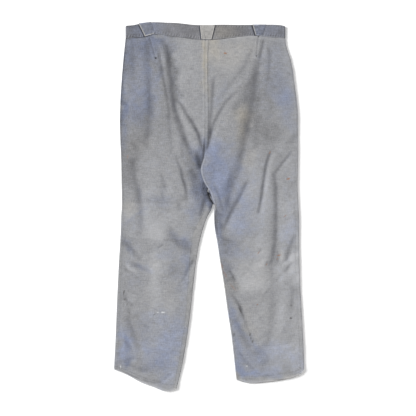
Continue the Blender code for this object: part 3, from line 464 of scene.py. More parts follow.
RUST_MARKS = [Mark(*row) for row in (
    (44.6, 421.0, 5.0, 2.6, -4, 0.85), (167, 148, 5.0, 2.0, 60, 0.55),
    (218, 76, 6.0, 3.0, 20, 0.75), (192, -134, 7.0, 2.0, 10, 0.75), (188, -144, 3.5, 1.5, 40, 0.6),
    (136, -127, 6.0, 1.5, 55, 0.6), (158, -159, 3.5, 2.0, 60, 0.5), (209, -26, 5.5, 1.6, 40, 0.55),
    (133, -269, 2.5, 1.8, 0, 0.7), (44, -186, 14, 3.4, -62, 0.30), (36, -164, 10, 2.6, -70, 0.28),
    (66, -222, 14, 3.0, -48, 0.22), (-223, 137, 6.0, 2.5, 80, 0.3), (-116, 132, 3.0, 1.5, 20, 0.2),
)]
SOIL_MARKS = [Mark(*row) for row in (
    (68, -352, 4.0, 5.0, 0, 0.55), (-234, -236, 8.0, 2.2, 78, 0.8), (-231, -255, 3.2, 2.0, 70, 0.6),
    (225, -306.5, 3.5, 3.1, 0, 0.85), (226, -271, 4.5, 3.6, 0, 0.35),
    (-151, -319, 4.5, 2.6, 0, 0.3), (-214, -463, 30, 2.2, -26, 0.5), (194, -474.5, 22, 1.6, 3, 0.5),
    (-225, -269, 4.0, 1.6, 80, 0.7), (-219, -292, 3.0, 1.5, 80, 0.5),
    (-150, -296, 5.0, 1.6, 30, 0.5), (112.5, -352, 4.6, 3.0, 80, 0.65),
    (115, -362, 4.6, 2.2, 95, 0.5), (119.5, -371, 4.8, 2.8, 80, 0.65),
    (137, -383, 4.5, 2.0, 0, 0.35), (86, -286, 8.0, 1.8, -62, 0.8), (-146.3, 407, 1.8, 1.8, 0, 1.0),
    (130.1, 413, 1.6, 2.8, 0, 0.8), (192, 182, 4.0, 1.6, 20, 0.4),
)]
SCUFF_MARKS = [Mark(*row) for row in (
    (-140.5, -291, 3.6, 1.5, 0, 0.7), (-126.5, -290.5, 6.5, 1.9, 0, 1.0),
    (104, -438, 3.0, 1.8, 0, 0.9), (-243, -440, 2.2, 5.0, 0, 0.7),
)]

# Near-black marks: painted shadow in the deep gaps at the fork and beside the lap, and dark dots at the
# dart tips and at the right loop's foot
SHADOW_AND_DOT_MARKS = [Mark(*row) for row in (
    (1.6, 32, 10.0, 4.0, -65, 1.0), (7.5, 14, 9.0, 2.0, -62, 0.85),
    (-14.3, 50.5, 6.0, 1.3, 65, 0.75), (-146.3, 407.5, 3.2, 3.2, 0, 0.9),
    (131.5, 415, 2.0, 3.4, -20, 0.35), (127.5, 414, 1.4, 3.4, 20, 0.30),
    (135.6, 466.4, 2.6, 1.8, 0, 0.7),
)]

# Tapered belt loops. Corners run top left, top right, foot right, foot left. Each slit shade is how
# dark the painted shade in the gap beside the loop is, gape is how far the left one opens, and flat and
# area are the cut in metres and square metres.
Loop = namedtuple("Loop", "name node corners lift left_slit gape right_slit flat area")

LOOPS = [
    Loop(
        "centre_loop_cloth", "loop_centre",
        [(-25.0, 498.4), (16.6, 498.4), (7.2, 459.0), (-20.6, 459.0)],
        1.3, 0.9, 1.4, 0.55, (0.042, 0.040), 0.00137
    ),
    Loop(
        "left_loop_cloth", "loop_left",
        [(-193.6, 503.2), (-159.0, 506.6), (-150.2, 474.6), (-175.6, 467.2)],
        1.0, 0.9, 1.9, 0.0, (0.036, 0.038), 0.00107
    ),
    Loop(
        "right_loop_cloth", "loop_right",
        [(119.2, 499.4), (157.0, 499.4), (145.5, 471.6), (128.6, 470.2)],
        1.0, 0.95, 2.3, 0.0, (0.038, 0.030), 0.00080
    ),
]
LOOP_WALL = 1.2
LOOP_PITCH = 1.1

# The share of a wall's thickness that each of its two faces gives up at a free edge
RIM_SHARE = 0.28

# Edges bent by more than this, in degrees, look sharp
SHARP_ANGLE = 62

# How often a loop's bed is evened out
SETTLE_PASSES = 6

# A stitch: its plain part, its tip and the tip's fall, as shares of its reach or radius, how much
# narrower the tip is, and how far it stands over the cloth
STITCH_BODY = 1.2
STITCH_TIP = 0.4
STITCH_FALL = 0.8
STITCH_NARROW = 0.5
STITCH_LIFT = 0.7

# How far the rows of stitches lie from their edge or seam
EDGE_INSET = 1.6
SECOND_INSET = 6.2
HEM_INSET = 1.2
BAND_LOW_INSET = 2.2
BAND_TOP_INSET = 2.6
SEAT_INSETS = (2.4, 6.6)
LAP_INSET = 3.6

# Where the seat's stitches end and the lap's begin, as heights over the middle of the picture
SEAT_STITCH_FOOT = 160
LAP_STITCH_TOP = 88

# A second row runs down a leg whose side seam lies further in than this
DEEP_TURN = 5


def smooth(stations, values, at):
    """Values at the given stations along a cubic that passes through the table's own."""
    stations, values = np.asarray(stations, float), np.asarray(values, float)
    steps = np.diff(stations)
    rises = np.diff(values) / steps
    slopes = np.empty_like(values)
    slopes[0], slopes[-1] = rises[0], rises[-1]
    slopes[1:-1] = (rises[:-1] * steps[1:] + rises[1:] * steps[:-1]) / (steps[:-1] + steps[1:])
    i = np.clip(np.searchsorted(stations, at, side="right") - 1, 0, len(steps) - 1)
    u = (at - stations[i]) / steps[i]
    return (
        values[i] * (1 + 2 * u) * (1 - u) ** 2
        + values[i + 1] * u * u * (3 - 2 * u)
        + steps[i] * (slopes[i] * u * (1 - u) ** 2 - slopes[i + 1] * u * u * (1 - u))
    )


def along_table(table, share):
    return smooth([row[0] for row in table], [row[1] for row in table], share)


def bell(distance, width):
    return np.exp(-((distance / width) ** 2))


def spot(x, y, at_x, at_y, wide, high):
    """A soft oval, 1 at its middle."""
    return bell(np.hypot((x - at_x) / wide, (y - at_y) / high), 1)


def ease(share):
    share = np.clip(share, 0, 1)
    return share * share * (3 - 2 * share)


def cloudy(x, y, size, seed):
    """Soft random clouds from -1 to 1, about size apart, the same on each run."""
    lattice = np.random.default_rng(seed).uniform(-1, 1, (64, 64))
    u, v = x / size, y / size
    i, j = np.floor(u).astype(int), np.floor(v).astype(int)
    fu, fv = ease(u - i), ease(v - j)
    near, far = i % 64, (i + 1) % 64
    low, high = j % 64, (j + 1) % 64
    bottom = lattice[near, low] * (1 - fu) + lattice[far, low] * fu
    top = lattice[near, high] * (1 - fu) + lattice[far, high] * fu
    return bottom * (1 - fv) + top * fv


def wrinkles(x, y, sign):
    """Fine creases: down to the right on the left leg, down to the left on the right leg."""
    slant = math.radians(WRINKLE_SLANT[int(sign)])
    along = (x * math.cos(slant) + y * math.sin(slant)) / WRINKLE_STRETCH
    across = y * math.cos(slant) - x * math.sin(slant)
    return cloudy(along, across, 6.5, 15) + 0.6 * cloudy(along, across, 3.6, 16)


def fold_lines():
    """The smooth line of every fold, with its strength and the distance run at each point."""
    lines = []
    for fold in FOLDS:
        points = np.array([(*point, 1)[:3] for point in fold.path], float)
        run = np.concatenate([[0], np.cumsum(np.hypot(*np.diff(points[:, :2], axis=0).T))])
        at = np.linspace(0, run[-1], max(4, round(run[-1] / FOLD_STEP)) + 1)
        lines.append([smooth(run, points[:, column], at) for column in range(3)] + [at])
    return lines


FOLD_LINES = fold_lines()


def fold_field(x, y, sign, column):
    """All the folds together, as the lift of the cloth or as the painted shade and grime laid in them.
    """
    total = np.zeros_like(x)
    for fold, (line_x, line_y, strength, run) in zip(FOLDS, FOLD_LINES):
        amount = getattr(fold, column)
        if not amount or fold.sign * sign < 0:
            continue
        left, right = fold.left, fold.right
        if column == "height":
            shift = FOLD_SHIFT * (left + right) / 2
            line_x, line_y = line_x + shift * AWAY_FROM_LIGHT[0], line_y + shift * AWAY_FROM_LIGHT[1]
            left, right = left * FOLD_SPREAD[0], right * FOLD_SPREAD[1]
        reach = max(left, right) * FOLD_REACH
        near = (x > line_x.min() - reach) & (x < line_x.max() + reach)
        near &= (y > line_y.min() - reach) & (y < line_y.max() + reach)
        if not near.any():
            continue
        px, py = x[near][:, None], y[near][:, None]
        run_x, run_y = np.diff(line_x), np.diff(line_y)
        foot = ((px - line_x[:-1]) * run_x + (py - line_y[:-1]) * run_y) / (run_x**2 + run_y**2)
        foot = np.clip(foot, 0, 1)
        off_x, off_y = px - line_x[:-1] - foot * run_x, py - line_y[:-1] - foot * run_y
        away = np.hypot(off_x, off_y)
        best = np.argmin(away, axis=1)
        rows = np.arange(len(best))
        at = np.interp(best + foot[rows, best], np.arange(len(run)), run)
        side = run_x[best] * off_y[rows, best] - run_y[best] * off_x[rows, best]
        width = np.where(side > 0, right, left)
        end = min(FOLD_END, run[-1] * 0.3)
        share = np.interp(at, run, strength) * (0.1 + 0.9 * ease(np.minimum(at, run[-1] - at) / end))
        total[near] += amount * bell(away[rows, best], width) * share
    return total


def dart_fields(x, y):
    """The groove of each dart, which closes towards its tip, the soft ridge beside it, and the painted
    shade in the groove.
    """
    lift, grime = np.zeros_like(x), np.zeros_like(x)
    for dart in DARTS:
        run_x, run_y = dart.x1 - dart.x0, dart.y1 - dart.y0
        length = math.hypot(run_x, run_y)
        along = ((x - dart.x0) * run_x + (y - dart.y0) * run_y) / length
        across = ((x - dart.x0) * run_y - (y - dart.y0) * run_x) / length
        inside = ease((along + 6) / 6) * ease((length + 4 - along) / 8)
        groove = bell(across, dart.half_width * 0.6) * inside
        ridge = bell(across - dart.half_width * 1.6, dart.half_width * 1.2) * inside
        ridge += bell(across + dart.half_width * 1.6, dart.half_width * 1.2) * inside
        lift += dart.depth * (0.55 * ridge - groove)
        # Painted shade in the groove
        grime += 0.34 * groove
    return lift, grime


def patch_fields(x, y, sign):
    """Fading, painted shade, hue and grime of the patches, with ragged edges, and the painted light and
    shade of the storage steps.
    """
    drift_x = x + PATCH_DRIFT * (cloudy(x, y, 34, 3) + 0.5 * cloudy(x, y, 13, 4))
    drift_y = y + PATCH_DRIFT * (cloudy(x, y, 34, 5) + 0.5 * cloudy(x, y, 13, 6))
    ragged = 1 + PATCH_RAGGED * (0.6 * cloudy(x, y, 21, 7) + 0.4 * cloudy(x, y, 8, 8))
    light, hue, grime = np.zeros_like(x), np.zeros_like(x), np.zeros_like(x)
    for patch in PATCHES:
        if patch.sign * sign < 0:
            continue
        turn = math.radians(patch.turn)
        dx, dy = drift_x - patch.x, drift_y - patch.y
        along = (dx * math.cos(turn) + dy * math.sin(turn)) / patch.along
        across = (dy * math.cos(turn) - dx * math.sin(turn)) / patch.across
        share = np.exp(-((along**2 + across**2) ** 1.25) * 0.8)
        light += patch.light * share
        hue += patch.hue * share * ragged
        grime += patch.grime * share * ragged
    for step in STEPS:
        run_x, run_y = step.x1 - step.x0, step.y1 - step.y0
        length = math.hypot(run_x, run_y)
        along = ((x - step.x0) * run_x + (y - step.y0) * run_y) / length
        over = ((y - step.y0) * run_x - (x - step.x0) * run_y) / length
        over = over + 0.7 * cloudy(x, y, 18, 9)
        inside = ease(along / 20) * ease((length - along) / 20)
        light += step.light * np.tanh(over / 2.5) * np.exp(-np.abs(over) / step.reach) * inside
    return light, hue, grime


class Half:
    """The rows of one half of the garment, from its waist seam to its hem."""

    def __init__(self, sections, fork_section, waist_bow, hem_bow, band_top, pitch):
        self.sign = np.sign(sections[0].side_x)
        self.waist_bow, self.hem_bow, self.band_top = waist_bow, hem_bow, band_top
        self.pitch = pitch
        stations = [0.0]
        at = [0.0]
        for above, below in zip(sections, sections[1:]):
            length = (above.side_y - below.side_y + above.inner_y - below.inner_y) / 2
            steps = max(1, round(length / pitch))
            at += [stations[-1] + length * (n + 1) / steps for n in range(steps)]
            stations.append(stations[-1] + length)
        self.at, self.length = np.array(at), stations[-1]
        for column in Section._fields:
            setattr(self, column, smooth(stations, [getattr(s, column) for s in sections], self.at))
        self.fork_row = int(np.argmin(np.abs(self.at - stations[fork_section])))

    def row(self, name):
        return getattr(self, name)[:, None]

    def width(self):
        return np.abs(self.row("inner_x") - self.row("side_x"))

    def place(self, share, front):
        """The y of points at a share of the way from the side to the inner edge."""
        y = self.row("side_y") + (self.row("inner_y") - self.row("side_y")) * share
        near_waist = np.clip(1 - self.at / EDGE_FADE, 0, 1)[:, None] ** 2
        near_hem = np.clip(1 - (self.length - self.at) / EDGE_FADE, 0, 1)[:, None] ** 2
        within = np.clip(share, 0, 1)
        waist_rise = along_table(self.waist_bow, within)
        if front:
            from_side = np.clip(share / FRONT_FADE_SHARE, 0, 1)
            from_seams = np.clip(np.minimum(share, 1 - share) / FRONT_FADE_SHARE, 0, 1)
            waist_rise = waist_rise * (1 - from_side) - FRONT_WAIST_DROP * from_side
            y = y - FRONT_HEM_PEEK * (self.sign > 0) * near_hem * from_seams
        return y + waist_rise * near_waist + along_table(self.hem_bow, within) * near_hem

    def lap(self, y, from_inner):
        above = 1 / (1 + np.exp(-(LAP_TOP_Y - y) / (LAP_FADE / 4)))
        below = 1 / (1 + np.exp(-(y - LAP_FOOT_Y) / (LAP_FADE / 4)))
        return above * below * bell(from_inner, LAP_WIDTH)

    def upper_height(self, x, y, share, sizes):
        """The outer face of the upper layer: rest height, edges, seams, folds and the lap."""
        wall = sizes.panel_wall / METRES
        width = self.width()
        from_side, from_inner = share * width, (1 - share) * width
        has_leg_edge = np.arange(len(self.at))[:, None] >= self.fork_row
        lift = bell(from_side, SIDE_LIFT_WIDTH) + bell(from_inner, SIDE_LIFT_WIDTH) * has_leg_edge
        folds = fold_field(x, y, self.sign, "height")
        darts, _ = dart_fields(x, y)
        fine = 0.30 * cloudy(x + 0.3 * y, y, 17, 11) + 0.22 * cloudy(x, y * 1.6, 9, 12)
        fine += 0.35 * cloudy(x, y, 42, 13) + WRINKLE_HEIGHT * wrinkles(x, y, self.sign)
        height = sizes.rest_height / METRES + SIDE_LIFT * lift + sizes.fold_strength * folds
        height = height + darts + fine
        from_hem = self.length - self.at[:, None]
        hem = ease((HEM_DEPTH + HEM_STEP / 2 - from_hem) / HEM_STEP)
        pucker = np.sin(x / 2.9 + 1.7 * cloudy(x, y, 25, 14)) * bell(from_hem - HEM_DEPTH, 4.5)
        height = height + HEM_LIFT * hem + 0.16 * pucker
        beside = np.abs(x - SHIELD_WIDTH / 2) - SHIELD_WIDTH / 2
        over_shield = np.clip(2 - np.maximum(beside, SHIELD_FOOT_Y - y) / 18, 0, 1)
        least = 2 * wall + 2 * SEAM_GAP + (wall + SEAM_GAP) * over_shield
        height = least + np.logaddexp(0, (height - least) * 2.5) / 2.5
        fell = ease((FELL_HALF_WIDTH + FELL_FOOT - from_inner) / FELL_FOOT)
        ditch = bell(from_inner - FELL_HALF_WIDTH / 3, 0.9) + bell(from_inner - FELL_HALF_WIDTH, 0.9)
        shown = ease((y - FELL_END_Y) / FELL_FADE)
        height += (FELL_LIFT * fell - 0.35 * ditch * fell) * ~has_leg_edge * shown
        if self.sign > 0:
            height += LAP_LIFT * self.lap(y, from_inner)
        return height


def cells_at_points(used):
    """How many of a grid's used cells meet at each of its points."""
    cells = np.pad(used.astype(int), 1)
    return cells[:-1, :-1] + cells[1:, :-1] + cells[:-1, 1:] + cells[1:, 1:]


def wall_of(outer_x, inner_x, y, outer_z, inner_z):
    """The outer and the inner grid of a wall, with all of its cells in use."""
    outer = np.stack(np.broadcast_arrays(outer_x, y, outer_z), axis=-1)
    inner = np.stack(np.broadcast_arrays(inner_x, y, inner_z), axis=-1)
    return outer, inner, np.ones((outer.shape[0] - 1, outer.shape[1] - 1), bool)


def drop_rims(outer, inner, used):
    """Draws the two faces of a wall together at its free edges, so that they look turned."""
    count = cells_at_points(used)
    rim = (count > 0) & (count < 4)
    shift = (outer[rim] - inner[rim]) * RIM_SHARE
    outer[rim] -= shift
    inner[rim] += shift


def tones_of(light, hue, grime):
    """The three colour fields as red, green and blue from 0 to 1."""
    return np.clip(0.5 + 2.0 * light, 0, 1), np.clip(0.5 + 0.5 * hue, 0, 1), np.clip(grime, 0, 1)


def upper_fields(half, x, y, share):
    """Colour fields of the cloth at each point, with the painted shade of the folds and darts and a
    painted highlight along the waist seam, as red, green and blue from 0 to 1.
    """
    fold_shade_and_grime = fold_field(x, y, half.sign, "shade")
    _, dart_groove_shade = dart_fields(x, y)
    light, hue, grime = patch_fields(x, y, half.sign)
    width = half.width()
    from_side, from_inner = share * width, (1 - share) * width
    from_hem = half.length - half.at[:, None]
    if half.sign < 0:
        light = light - 0.16 * bell(from_side - 1, 5.5) * (0.3 + 0.7 * ease((y - 130) / 80))
    else:
        light = light + 0.04 * bell(from_side - 1, 6.0)
    light = light + 0.20 * bell(from_hem, 3.5) - 0.07 * bell(from_hem - HEM_DEPTH, 1.6)
    # A painted highlight along the waist seam right of the centre, and painted shade under the band's
    # edge elsewhere
    seam_highlight = ease((x + WAIST_HIGHLIGHT_FADE) / WAIST_HIGHLIGHT_FADE) * (0.4 + 0.6 * ease((150 - x) / 40))
    light = light + (0.15 * seam_highlight - 0.04) * bell(half.at[:, None], 3.5)
    seam = ease((y - FELL_END_Y) / FELL_FADE)
    light = light + 0.08 * bell(from_inner - 5.0, 1.8) * seam - 0.10 * bell(from_inner - 8.6, 1.4) * seam
    lap = half.lap(y, from_inner) * (half.sign > 0)
    light = light + 0.12 * bell(from_inner - 2.4, 1.4) * lap - 0.06 * bell(from_inner - 6.0, 1.2) * lap
    # Painted shade and grime in the folds, and painted shade in the dart grooves
    grime = grime + (FOLD_SHADE_AND_GRIME * fold_shade_and_grime + dart_groove_shade) * (0.9 + 0.25 * cloudy(x, y, 14, 21))
    return tones_of(light, hue, grime)


def add_object(name, data):
    item = bpy.data.objects.new(name, data)
    bpy.context.scene.collection.objects.link(item)
    return item


def cloth_object(name, outer, inner, used, tones, grain, material):
    """A mesh of one closed wall from its outer and inner grids, in millimetres."""
    wanted = cells_at_points(used) > 0
    index = np.full(outer.shape[:2], -1)
    index[wanted] = np.arange(wanted.sum())
    count = int(wanted.sum())
    rows, columns = np.nonzero(used)
    steps = ((0, 0), (0, 1), (1, 1), (1, 0))
    ring = np.stack([index[rows + down, columns + across] for down, across in steps], axis=1)
    corner = outer[rows[0], columns[0]]
    across = outer[rows[0], columns[0] + 1] - corner
    down = outer[rows[0] + 1, columns[0]] - corner
    away = np.cross(across, down) @ (outer[rows[0], columns[0]] - inner[rows[0], columns[0]])
    if away < 0:
        ring = ring[:, ::-1]
    edges = np.concatenate([ring[:, [k, (k + 1) % 4]] for k in range(4)])
    keys = edges[:, 0] * count + edges[:, 1]
    back = edges[:, 1] * count + edges[:, 0]
    free = edges[~np.isin(keys, back)]
    rim = np.stack([free[:, 1], free[:, 0], free[:, 0] + count, free[:, 1] + count], axis=1)
    faces = np.concatenate([ring, ring[:, ::-1] + count, rim])
    points = np.concatenate([outer[wanted], inner[wanted]]) * METRES
    mesh = bpy.data.meshes.new(name)
    mesh.from_pydata(points.tolist(), [], faces.tolist())
    mesh.validate()
    tone = mesh.attributes.new("tone", "FLOAT_COLOR", "POINT")
    colour = np.ones((2 * count, 4))
    for channel, field in enumerate(tones):
        flat = np.broadcast_to(field, outer.shape[:2])[wanted]
        colour[:count, channel] = flat
        colour[count:, channel] = flat
    tone.data.foreach_set("color", colour.ravel())
    uv = mesh.uv_layers.new(name="grain")
    place = np.tile(grain[wanted], (2, 1)) * METRES
    corners = np.empty(len(mesh.loops), int)
    mesh.loops.foreach_get("vertex_index", corners)
    uv.data.foreach_set("uv", place[corners].ravel())
    mesh.shade_smooth()
    mesh.set_sharp_from_angle(angle=math.radians(SHARP_ANGLE))
    mesh.materials.append(material)
    return add_object(name, mesh)


def dress(piece, nodes, area):
    """Hangs a finished sheet of cloth on the frame's root and hides the frame's parts that it replaces.
    """
    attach(piece, "root")
    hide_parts(*nodes)


class Sum:
    """A number in the shader. Arithmetic on it adds the nodes."""

    def __init__(self, tree, socket):
        self.tree, self.socket = tree, socket

    def maths(self, operation, *values, clamp=False):
        node = self.tree.nodes.new("ShaderNodeMath")
        node.operation = operation
        node.use_clamp = clamp
        for slot, value in zip(node.inputs, values):
            plug(self.tree, value, slot)
        return Sum(self.tree, node.outputs[0])

    def __add__(self, other):
        return self.maths("ADD", self, other)

    __radd__ = __add__

    def __sub__(self, other):
        return self.maths("SUBTRACT", self, other)

    def __rsub__(self, other):
        return self.maths("SUBTRACT", other, self)

    def __mul__(self, other):
        return self.maths("MULTIPLY", self, other)

    __rmul__ = __mul__

    def clamped(self):
        return self.maths("ADD", self, 0.0, clamp=True)

    def sine(self):
        return self.maths("SINE", self)


def plug(tree, value, slot):
    """Links a value's socket, or sets a number or a colour on the slot itself."""
    if isinstance(value, Sum):
        value = value.socket
    if isinstance(value, bpy.types.NodeSocket):
        tree.links.new(value, slot)
    else:
        slot.default_value = value


def add_node(tree, kind, settings=None, **inputs):
    """A node with its settings first, then its sockets by name, spaces written as underlines."""
    node = tree.nodes.new(kind)
    for name, value in (settings or {}).items():
        setattr(node, name, value)
    for name, value in inputs.items():
        plug(tree, value, node.inputs[name.replace("_", " ")])
    return node


def blend_colours(tree, share, first, second):
    node = tree.nodes.new("ShaderNodeMix")
    node.data_type = "RGBA"
    plug(tree, share, node.inputs[0])
    plug(tree, first, node.inputs[6])
    plug(tree, second, node.inputs[7])
    return node.outputs[2]


def brighten(tree, colour, amount):
    node = tree.nodes.new("ShaderNodeVectorMath")
    node.operation = "SCALE"
    plug(tree, colour[:3] if isinstance(colour, tuple) else colour, node.inputs[0])
    plug(tree, amount, node.inputs["Scale"])
    return node.outputs[0]


def noise(tree, vector, size, detail=3.0, roughness=0.55, stretch=(1, 1, 1)):
    """Noise whose features are about size millimetres, drawn out by stretch."""
    scale = [1 / (size * METRES * s) for s in stretch]
    spread = add_node(tree, "ShaderNodeVectorMath", {"operation": "MULTIPLY"})
    plug(tree, vector, spread.inputs[0])
    spread.inputs[1].default_value = scale
    node = add_node(
        tree, "ShaderNodeTexNoise", {"noise_dimensions": "3D"},
        Vector=spread.outputs[0], Scale=1.0, Detail=detail, Roughness=roughness
    )
    return Sum(tree, node.outputs[0])


def mark_mask(tree, place, ragged, marks):
    """The greatest of several soft ellipses, each turned and broken up at its edge."""
    mask = None
    for mark in marks:
        turned = add_node(tree, "ShaderNodeMapping", {"vector_type": "TEXTURE"}, Vector=place)
        turned.inputs["Location"].default_value = (mark.x * METRES, mark.y * METRES, 0)
        turned.inputs["Rotation"].default_value = (0, 0, math.radians(mark.turn))
        turned.inputs["Scale"].default_value = (mark.along * METRES, mark.across * METRES, 1)
        flat = add_node(tree, "ShaderNodeVectorMath", {"operation": "MULTIPLY"})
        plug(tree, turned.outputs[0], flat.inputs[0])
        flat.inputs[1].default_value = (1, 1, 0)
        length = add_node(tree, "ShaderNodeVectorMath", {"operation": "LENGTH"})
        plug(tree, flat.outputs[0], length.inputs[0])
        inside = 1.35 - Sum(tree, length.outputs["Value"]) * 1.1 + (ragged - 0.5) * 1.5
        share = inside.clamped() * mark.strength
        mask = share if mask is None else mask.maths("MAXIMUM", mask, share)
    return mask


def new_material(name):
    """A material with its tree, its main shader and the object's own coordinates."""
    material = bpy.data.materials.new(name)
    material.use_nodes = True
    tree = material.node_tree
    place = add_node(tree, "ShaderNodeTexCoord").outputs["Object"]
    return material, tree, tree.nodes["Principled BSDF"], place


# A cloth's colour, its sheen, and the pitch and depth of its twill in millimetres
Look = namedtuple("Look", "cloth sheen rib relief")

LEG_TWILL = (0.10, 1.1, 0.30)
BAND_TWILL = (0.08, 1.0, 0.28)
LOOP_TWILL = (0.10, 0.9, 0.26)


def cloth_material(name, look, marked=False):
    """Worn twill: faded yarn, patches from the tone attribute, grime and painted shade, and a woven
    surface; marked cloth also gets stains, scuffs and painted shadow in deep gaps.
    """
    colours = bpy.context.scene.trousers_colours
    material, tree, shader, place = new_material(name)
    tone = add_node(tree, "ShaderNodeAttribute", {"attribute_name": "tone"})
    parts = add_node(tree, "ShaderNodeSeparateColor", Color=tone.outputs["Color"])
    light = Sum(tree, parts.outputs[0]) - 0.5
    hue = Sum(tree, parts.outputs[1]) * 2.0 - 1.0
    grime = Sum(tree, parts.outputs[2])
    grain = add_node(tree, "ShaderNodeUVMap", {"uv_map": "grain"}).outputs[0]

    weft = noise(tree, grain, 2.2, 3.0, 0.6, (9, 1, 1)) - 0.5
    warp = noise(tree, grain, 2.0, 3.0, 0.6, (1, 6, 1)) - 0.5
    fleck = noise(tree, grain, 2.8, 4.0, 0.7) - 0.5
    cloud = noise(tree, place, 26, 5.0, 0.62) - 0.5
    patchy = noise(tree, place, 8.5, 4.0, 0.65, (1.7, 1, 1)) - 0.5

    blue = (hue + cloud * 0.5 + patchy * 0.7 + fleck * 0.5).clamped()
    khaki = (0.0 - hue + cloud * 0.4 + warp * 0.5).clamped()
    colour = blend_colours(tree, blue, look.cloth, colours.blue_yarn)
    colour = blend_colours(tree, khaki * 0.9, colour, colours.khaki_yarn)
    # Painted shade and grime are blended in as one dark colour
    blot = (grime * (1.0 + patchy * 0.7)).clamped()
    colour = blend_colours(tree, blot, colour, colours.grime)
    shine = 0.97 + light * 1.15 + weft * 0.60 + warp * 0.62 + fleck * 0.70 + cloud * 0.22 + patchy * 0.36
    colour = brighten(tree, colour, shine)
    if marked:
        ragged = noise(tree, place, 3.0, 4.0, 0.7)
        for marks, paint in (
            (RUST_MARKS, colours.rust),
            (SOIL_MARKS, colours.soil),
            (SCUFF_MARKS, colours.scuff),
            (SHADOW_AND_DOT_MARKS, colours.gap),
        ):
            colour = blend_colours(tree, mark_mask(tree, place, ragged, marks), colour, paint)
    tree.links.new(colour, shader.inputs["Base Color"])
    plug(tree, 0.90 + patchy * 0.12 - grime * 0.1, shader.inputs["Roughness"])
    shader.inputs["Sheen Weight"].default_value = look.sheen
    shader.inputs["Sheen Roughness"].default_value = 0.55
    shader.inputs["Specular IOR Level"].default_value = 0.25

    split = add_node(tree, "ShaderNodeSeparateXYZ", Vector=grain)
    across, along = Sum(tree, split.outputs[0]), Sum(tree, split.outputs[1])
    turn = 2 * math.pi / METRES
    rib = ((across + along) * (turn / look.rib)).sine()
    pick = (along * (turn / (look.rib * 0.62))).sine()
    surface = rib * 0.5 + pick * 0.25 + weft * 1.8 + warp * 1.0 + fleck * 2.2 + patchy * 1.2
    bump = add_node(tree, "ShaderNodeBump", Height=surface)
    bump.inputs["Strength"].default_value = 0.55
    bump.inputs["Distance"].default_value = look.relief * METRES
    tree.links.new(bump.outputs[0], shader.inputs["Normal"])
    return material


def plain_material(name, colour, roughness, metallic=0.0):
    """Thread or metal, with a little wear from noise."""
    material, tree, shader, place = new_material(name)
    worn = noise(tree, place, 5.0, 4.0, 0.6) - 0.5
    tree.links.new(brighten(tree, colour, 1.0 + worn * 0.5), shader.inputs["Base Color"])
    plug(tree, roughness + worn * 0.2, shader.inputs["Roughness"])
    shader.inputs["Metallic"].default_value = metallic
    return material


def grain_of(half, x, y, share):
    """Cloth coordinates along the weft and the warp, in millimetres."""
    width = half.width()
    across = share * width * half.sign
    return np.stack([np.broadcast_to(across, x.shape), np.broadcast_to(y, x.shape)], axis=-1)


def back_panel(half, sizes):
    """The upper panel of one half, from its side seam to the centre back and the inner leg."""
    wall = sizes.panel_wall / METRES
    width = half.width()
    rows = len(half.at)
    first = (half.row("side_turn") + SEAM_GAP / 2) / width
    last = 1 - (half.row("inner_turn") + SEAM_GAP / 2) / width
    if half.sign < 0:
        y_inner = half.row("inner_y")
        window = ease((LAP_TOP_Y + 6 - y_inner) / 18) * ease((y_inner - 44) / 16)
        last = last + TUCK_WIDTH * window / width
    steps = round(float(np.median(width)) / half.pitch)
    share = first + (last - first) * np.linspace(0, 1, steps + 1)[None, :]
    x = half.row("side_x") + (half.row("inner_x") - half.row("side_x")) * share
    y = half.place(share, front=False)
    top = half.upper_height(x, y, share, sizes)
    outer, inner, used = wall_of(x, x, y, top, top - wall)
    tones = upper_fields(half, x, y, share)
    level = [(grid, grid[:, [0, -1]].copy()) for grid in (outer, inner)]
    drop_rims(outer, inner, used)
    legs = np.arange(rows) >= half.fork_row
    for grid, edges in level:
        grid[:, 0] = edges[:, 0]
        grid[legs, -1] = edges[legs, 1]
    return outer, inner, used, tones, grain_of(half, x, y, share)


def rolled(edge_x, inward, radius, wall, angles):
    """The outer and the inner x of a wall that turns round an edge."""
    reach = 1 - np.cos(angles)
    return edge_x + inward * radius * reach, edge_x + inward * (wall + (radius - wall) * reach)


def turned_edge(edge_x, turn, inward, wall, columns, heights):
    """Columns that turn up from the floor round an edge and lie on top as far as the seam."""
    radius = np.minimum(ROLL_RADIUS, turn * 0.85)
    angles = np.linspace(-np.pi / 2, np.pi / 2, ROLL_STEPS + 1)[None, :]
    reach = np.linspace(0, 1, columns + 1)[None, 1:]
    top_x = edge_x + inward * (radius + (turn - SEAM_GAP / 2 - radius) * reach)
    turns = rolled(edge_x, inward, radius, wall, angles)
    outer_x, inner_x = (np.hstack([turned, top_x]) for turned in turns)
    up = np.hstack([(1 + np.sin(angles)) / 2, np.ones((1, columns))])
    top = heights(outer_x)
    return outer_x, inner_x, top * up, wall + (top - 2 * wall) * up


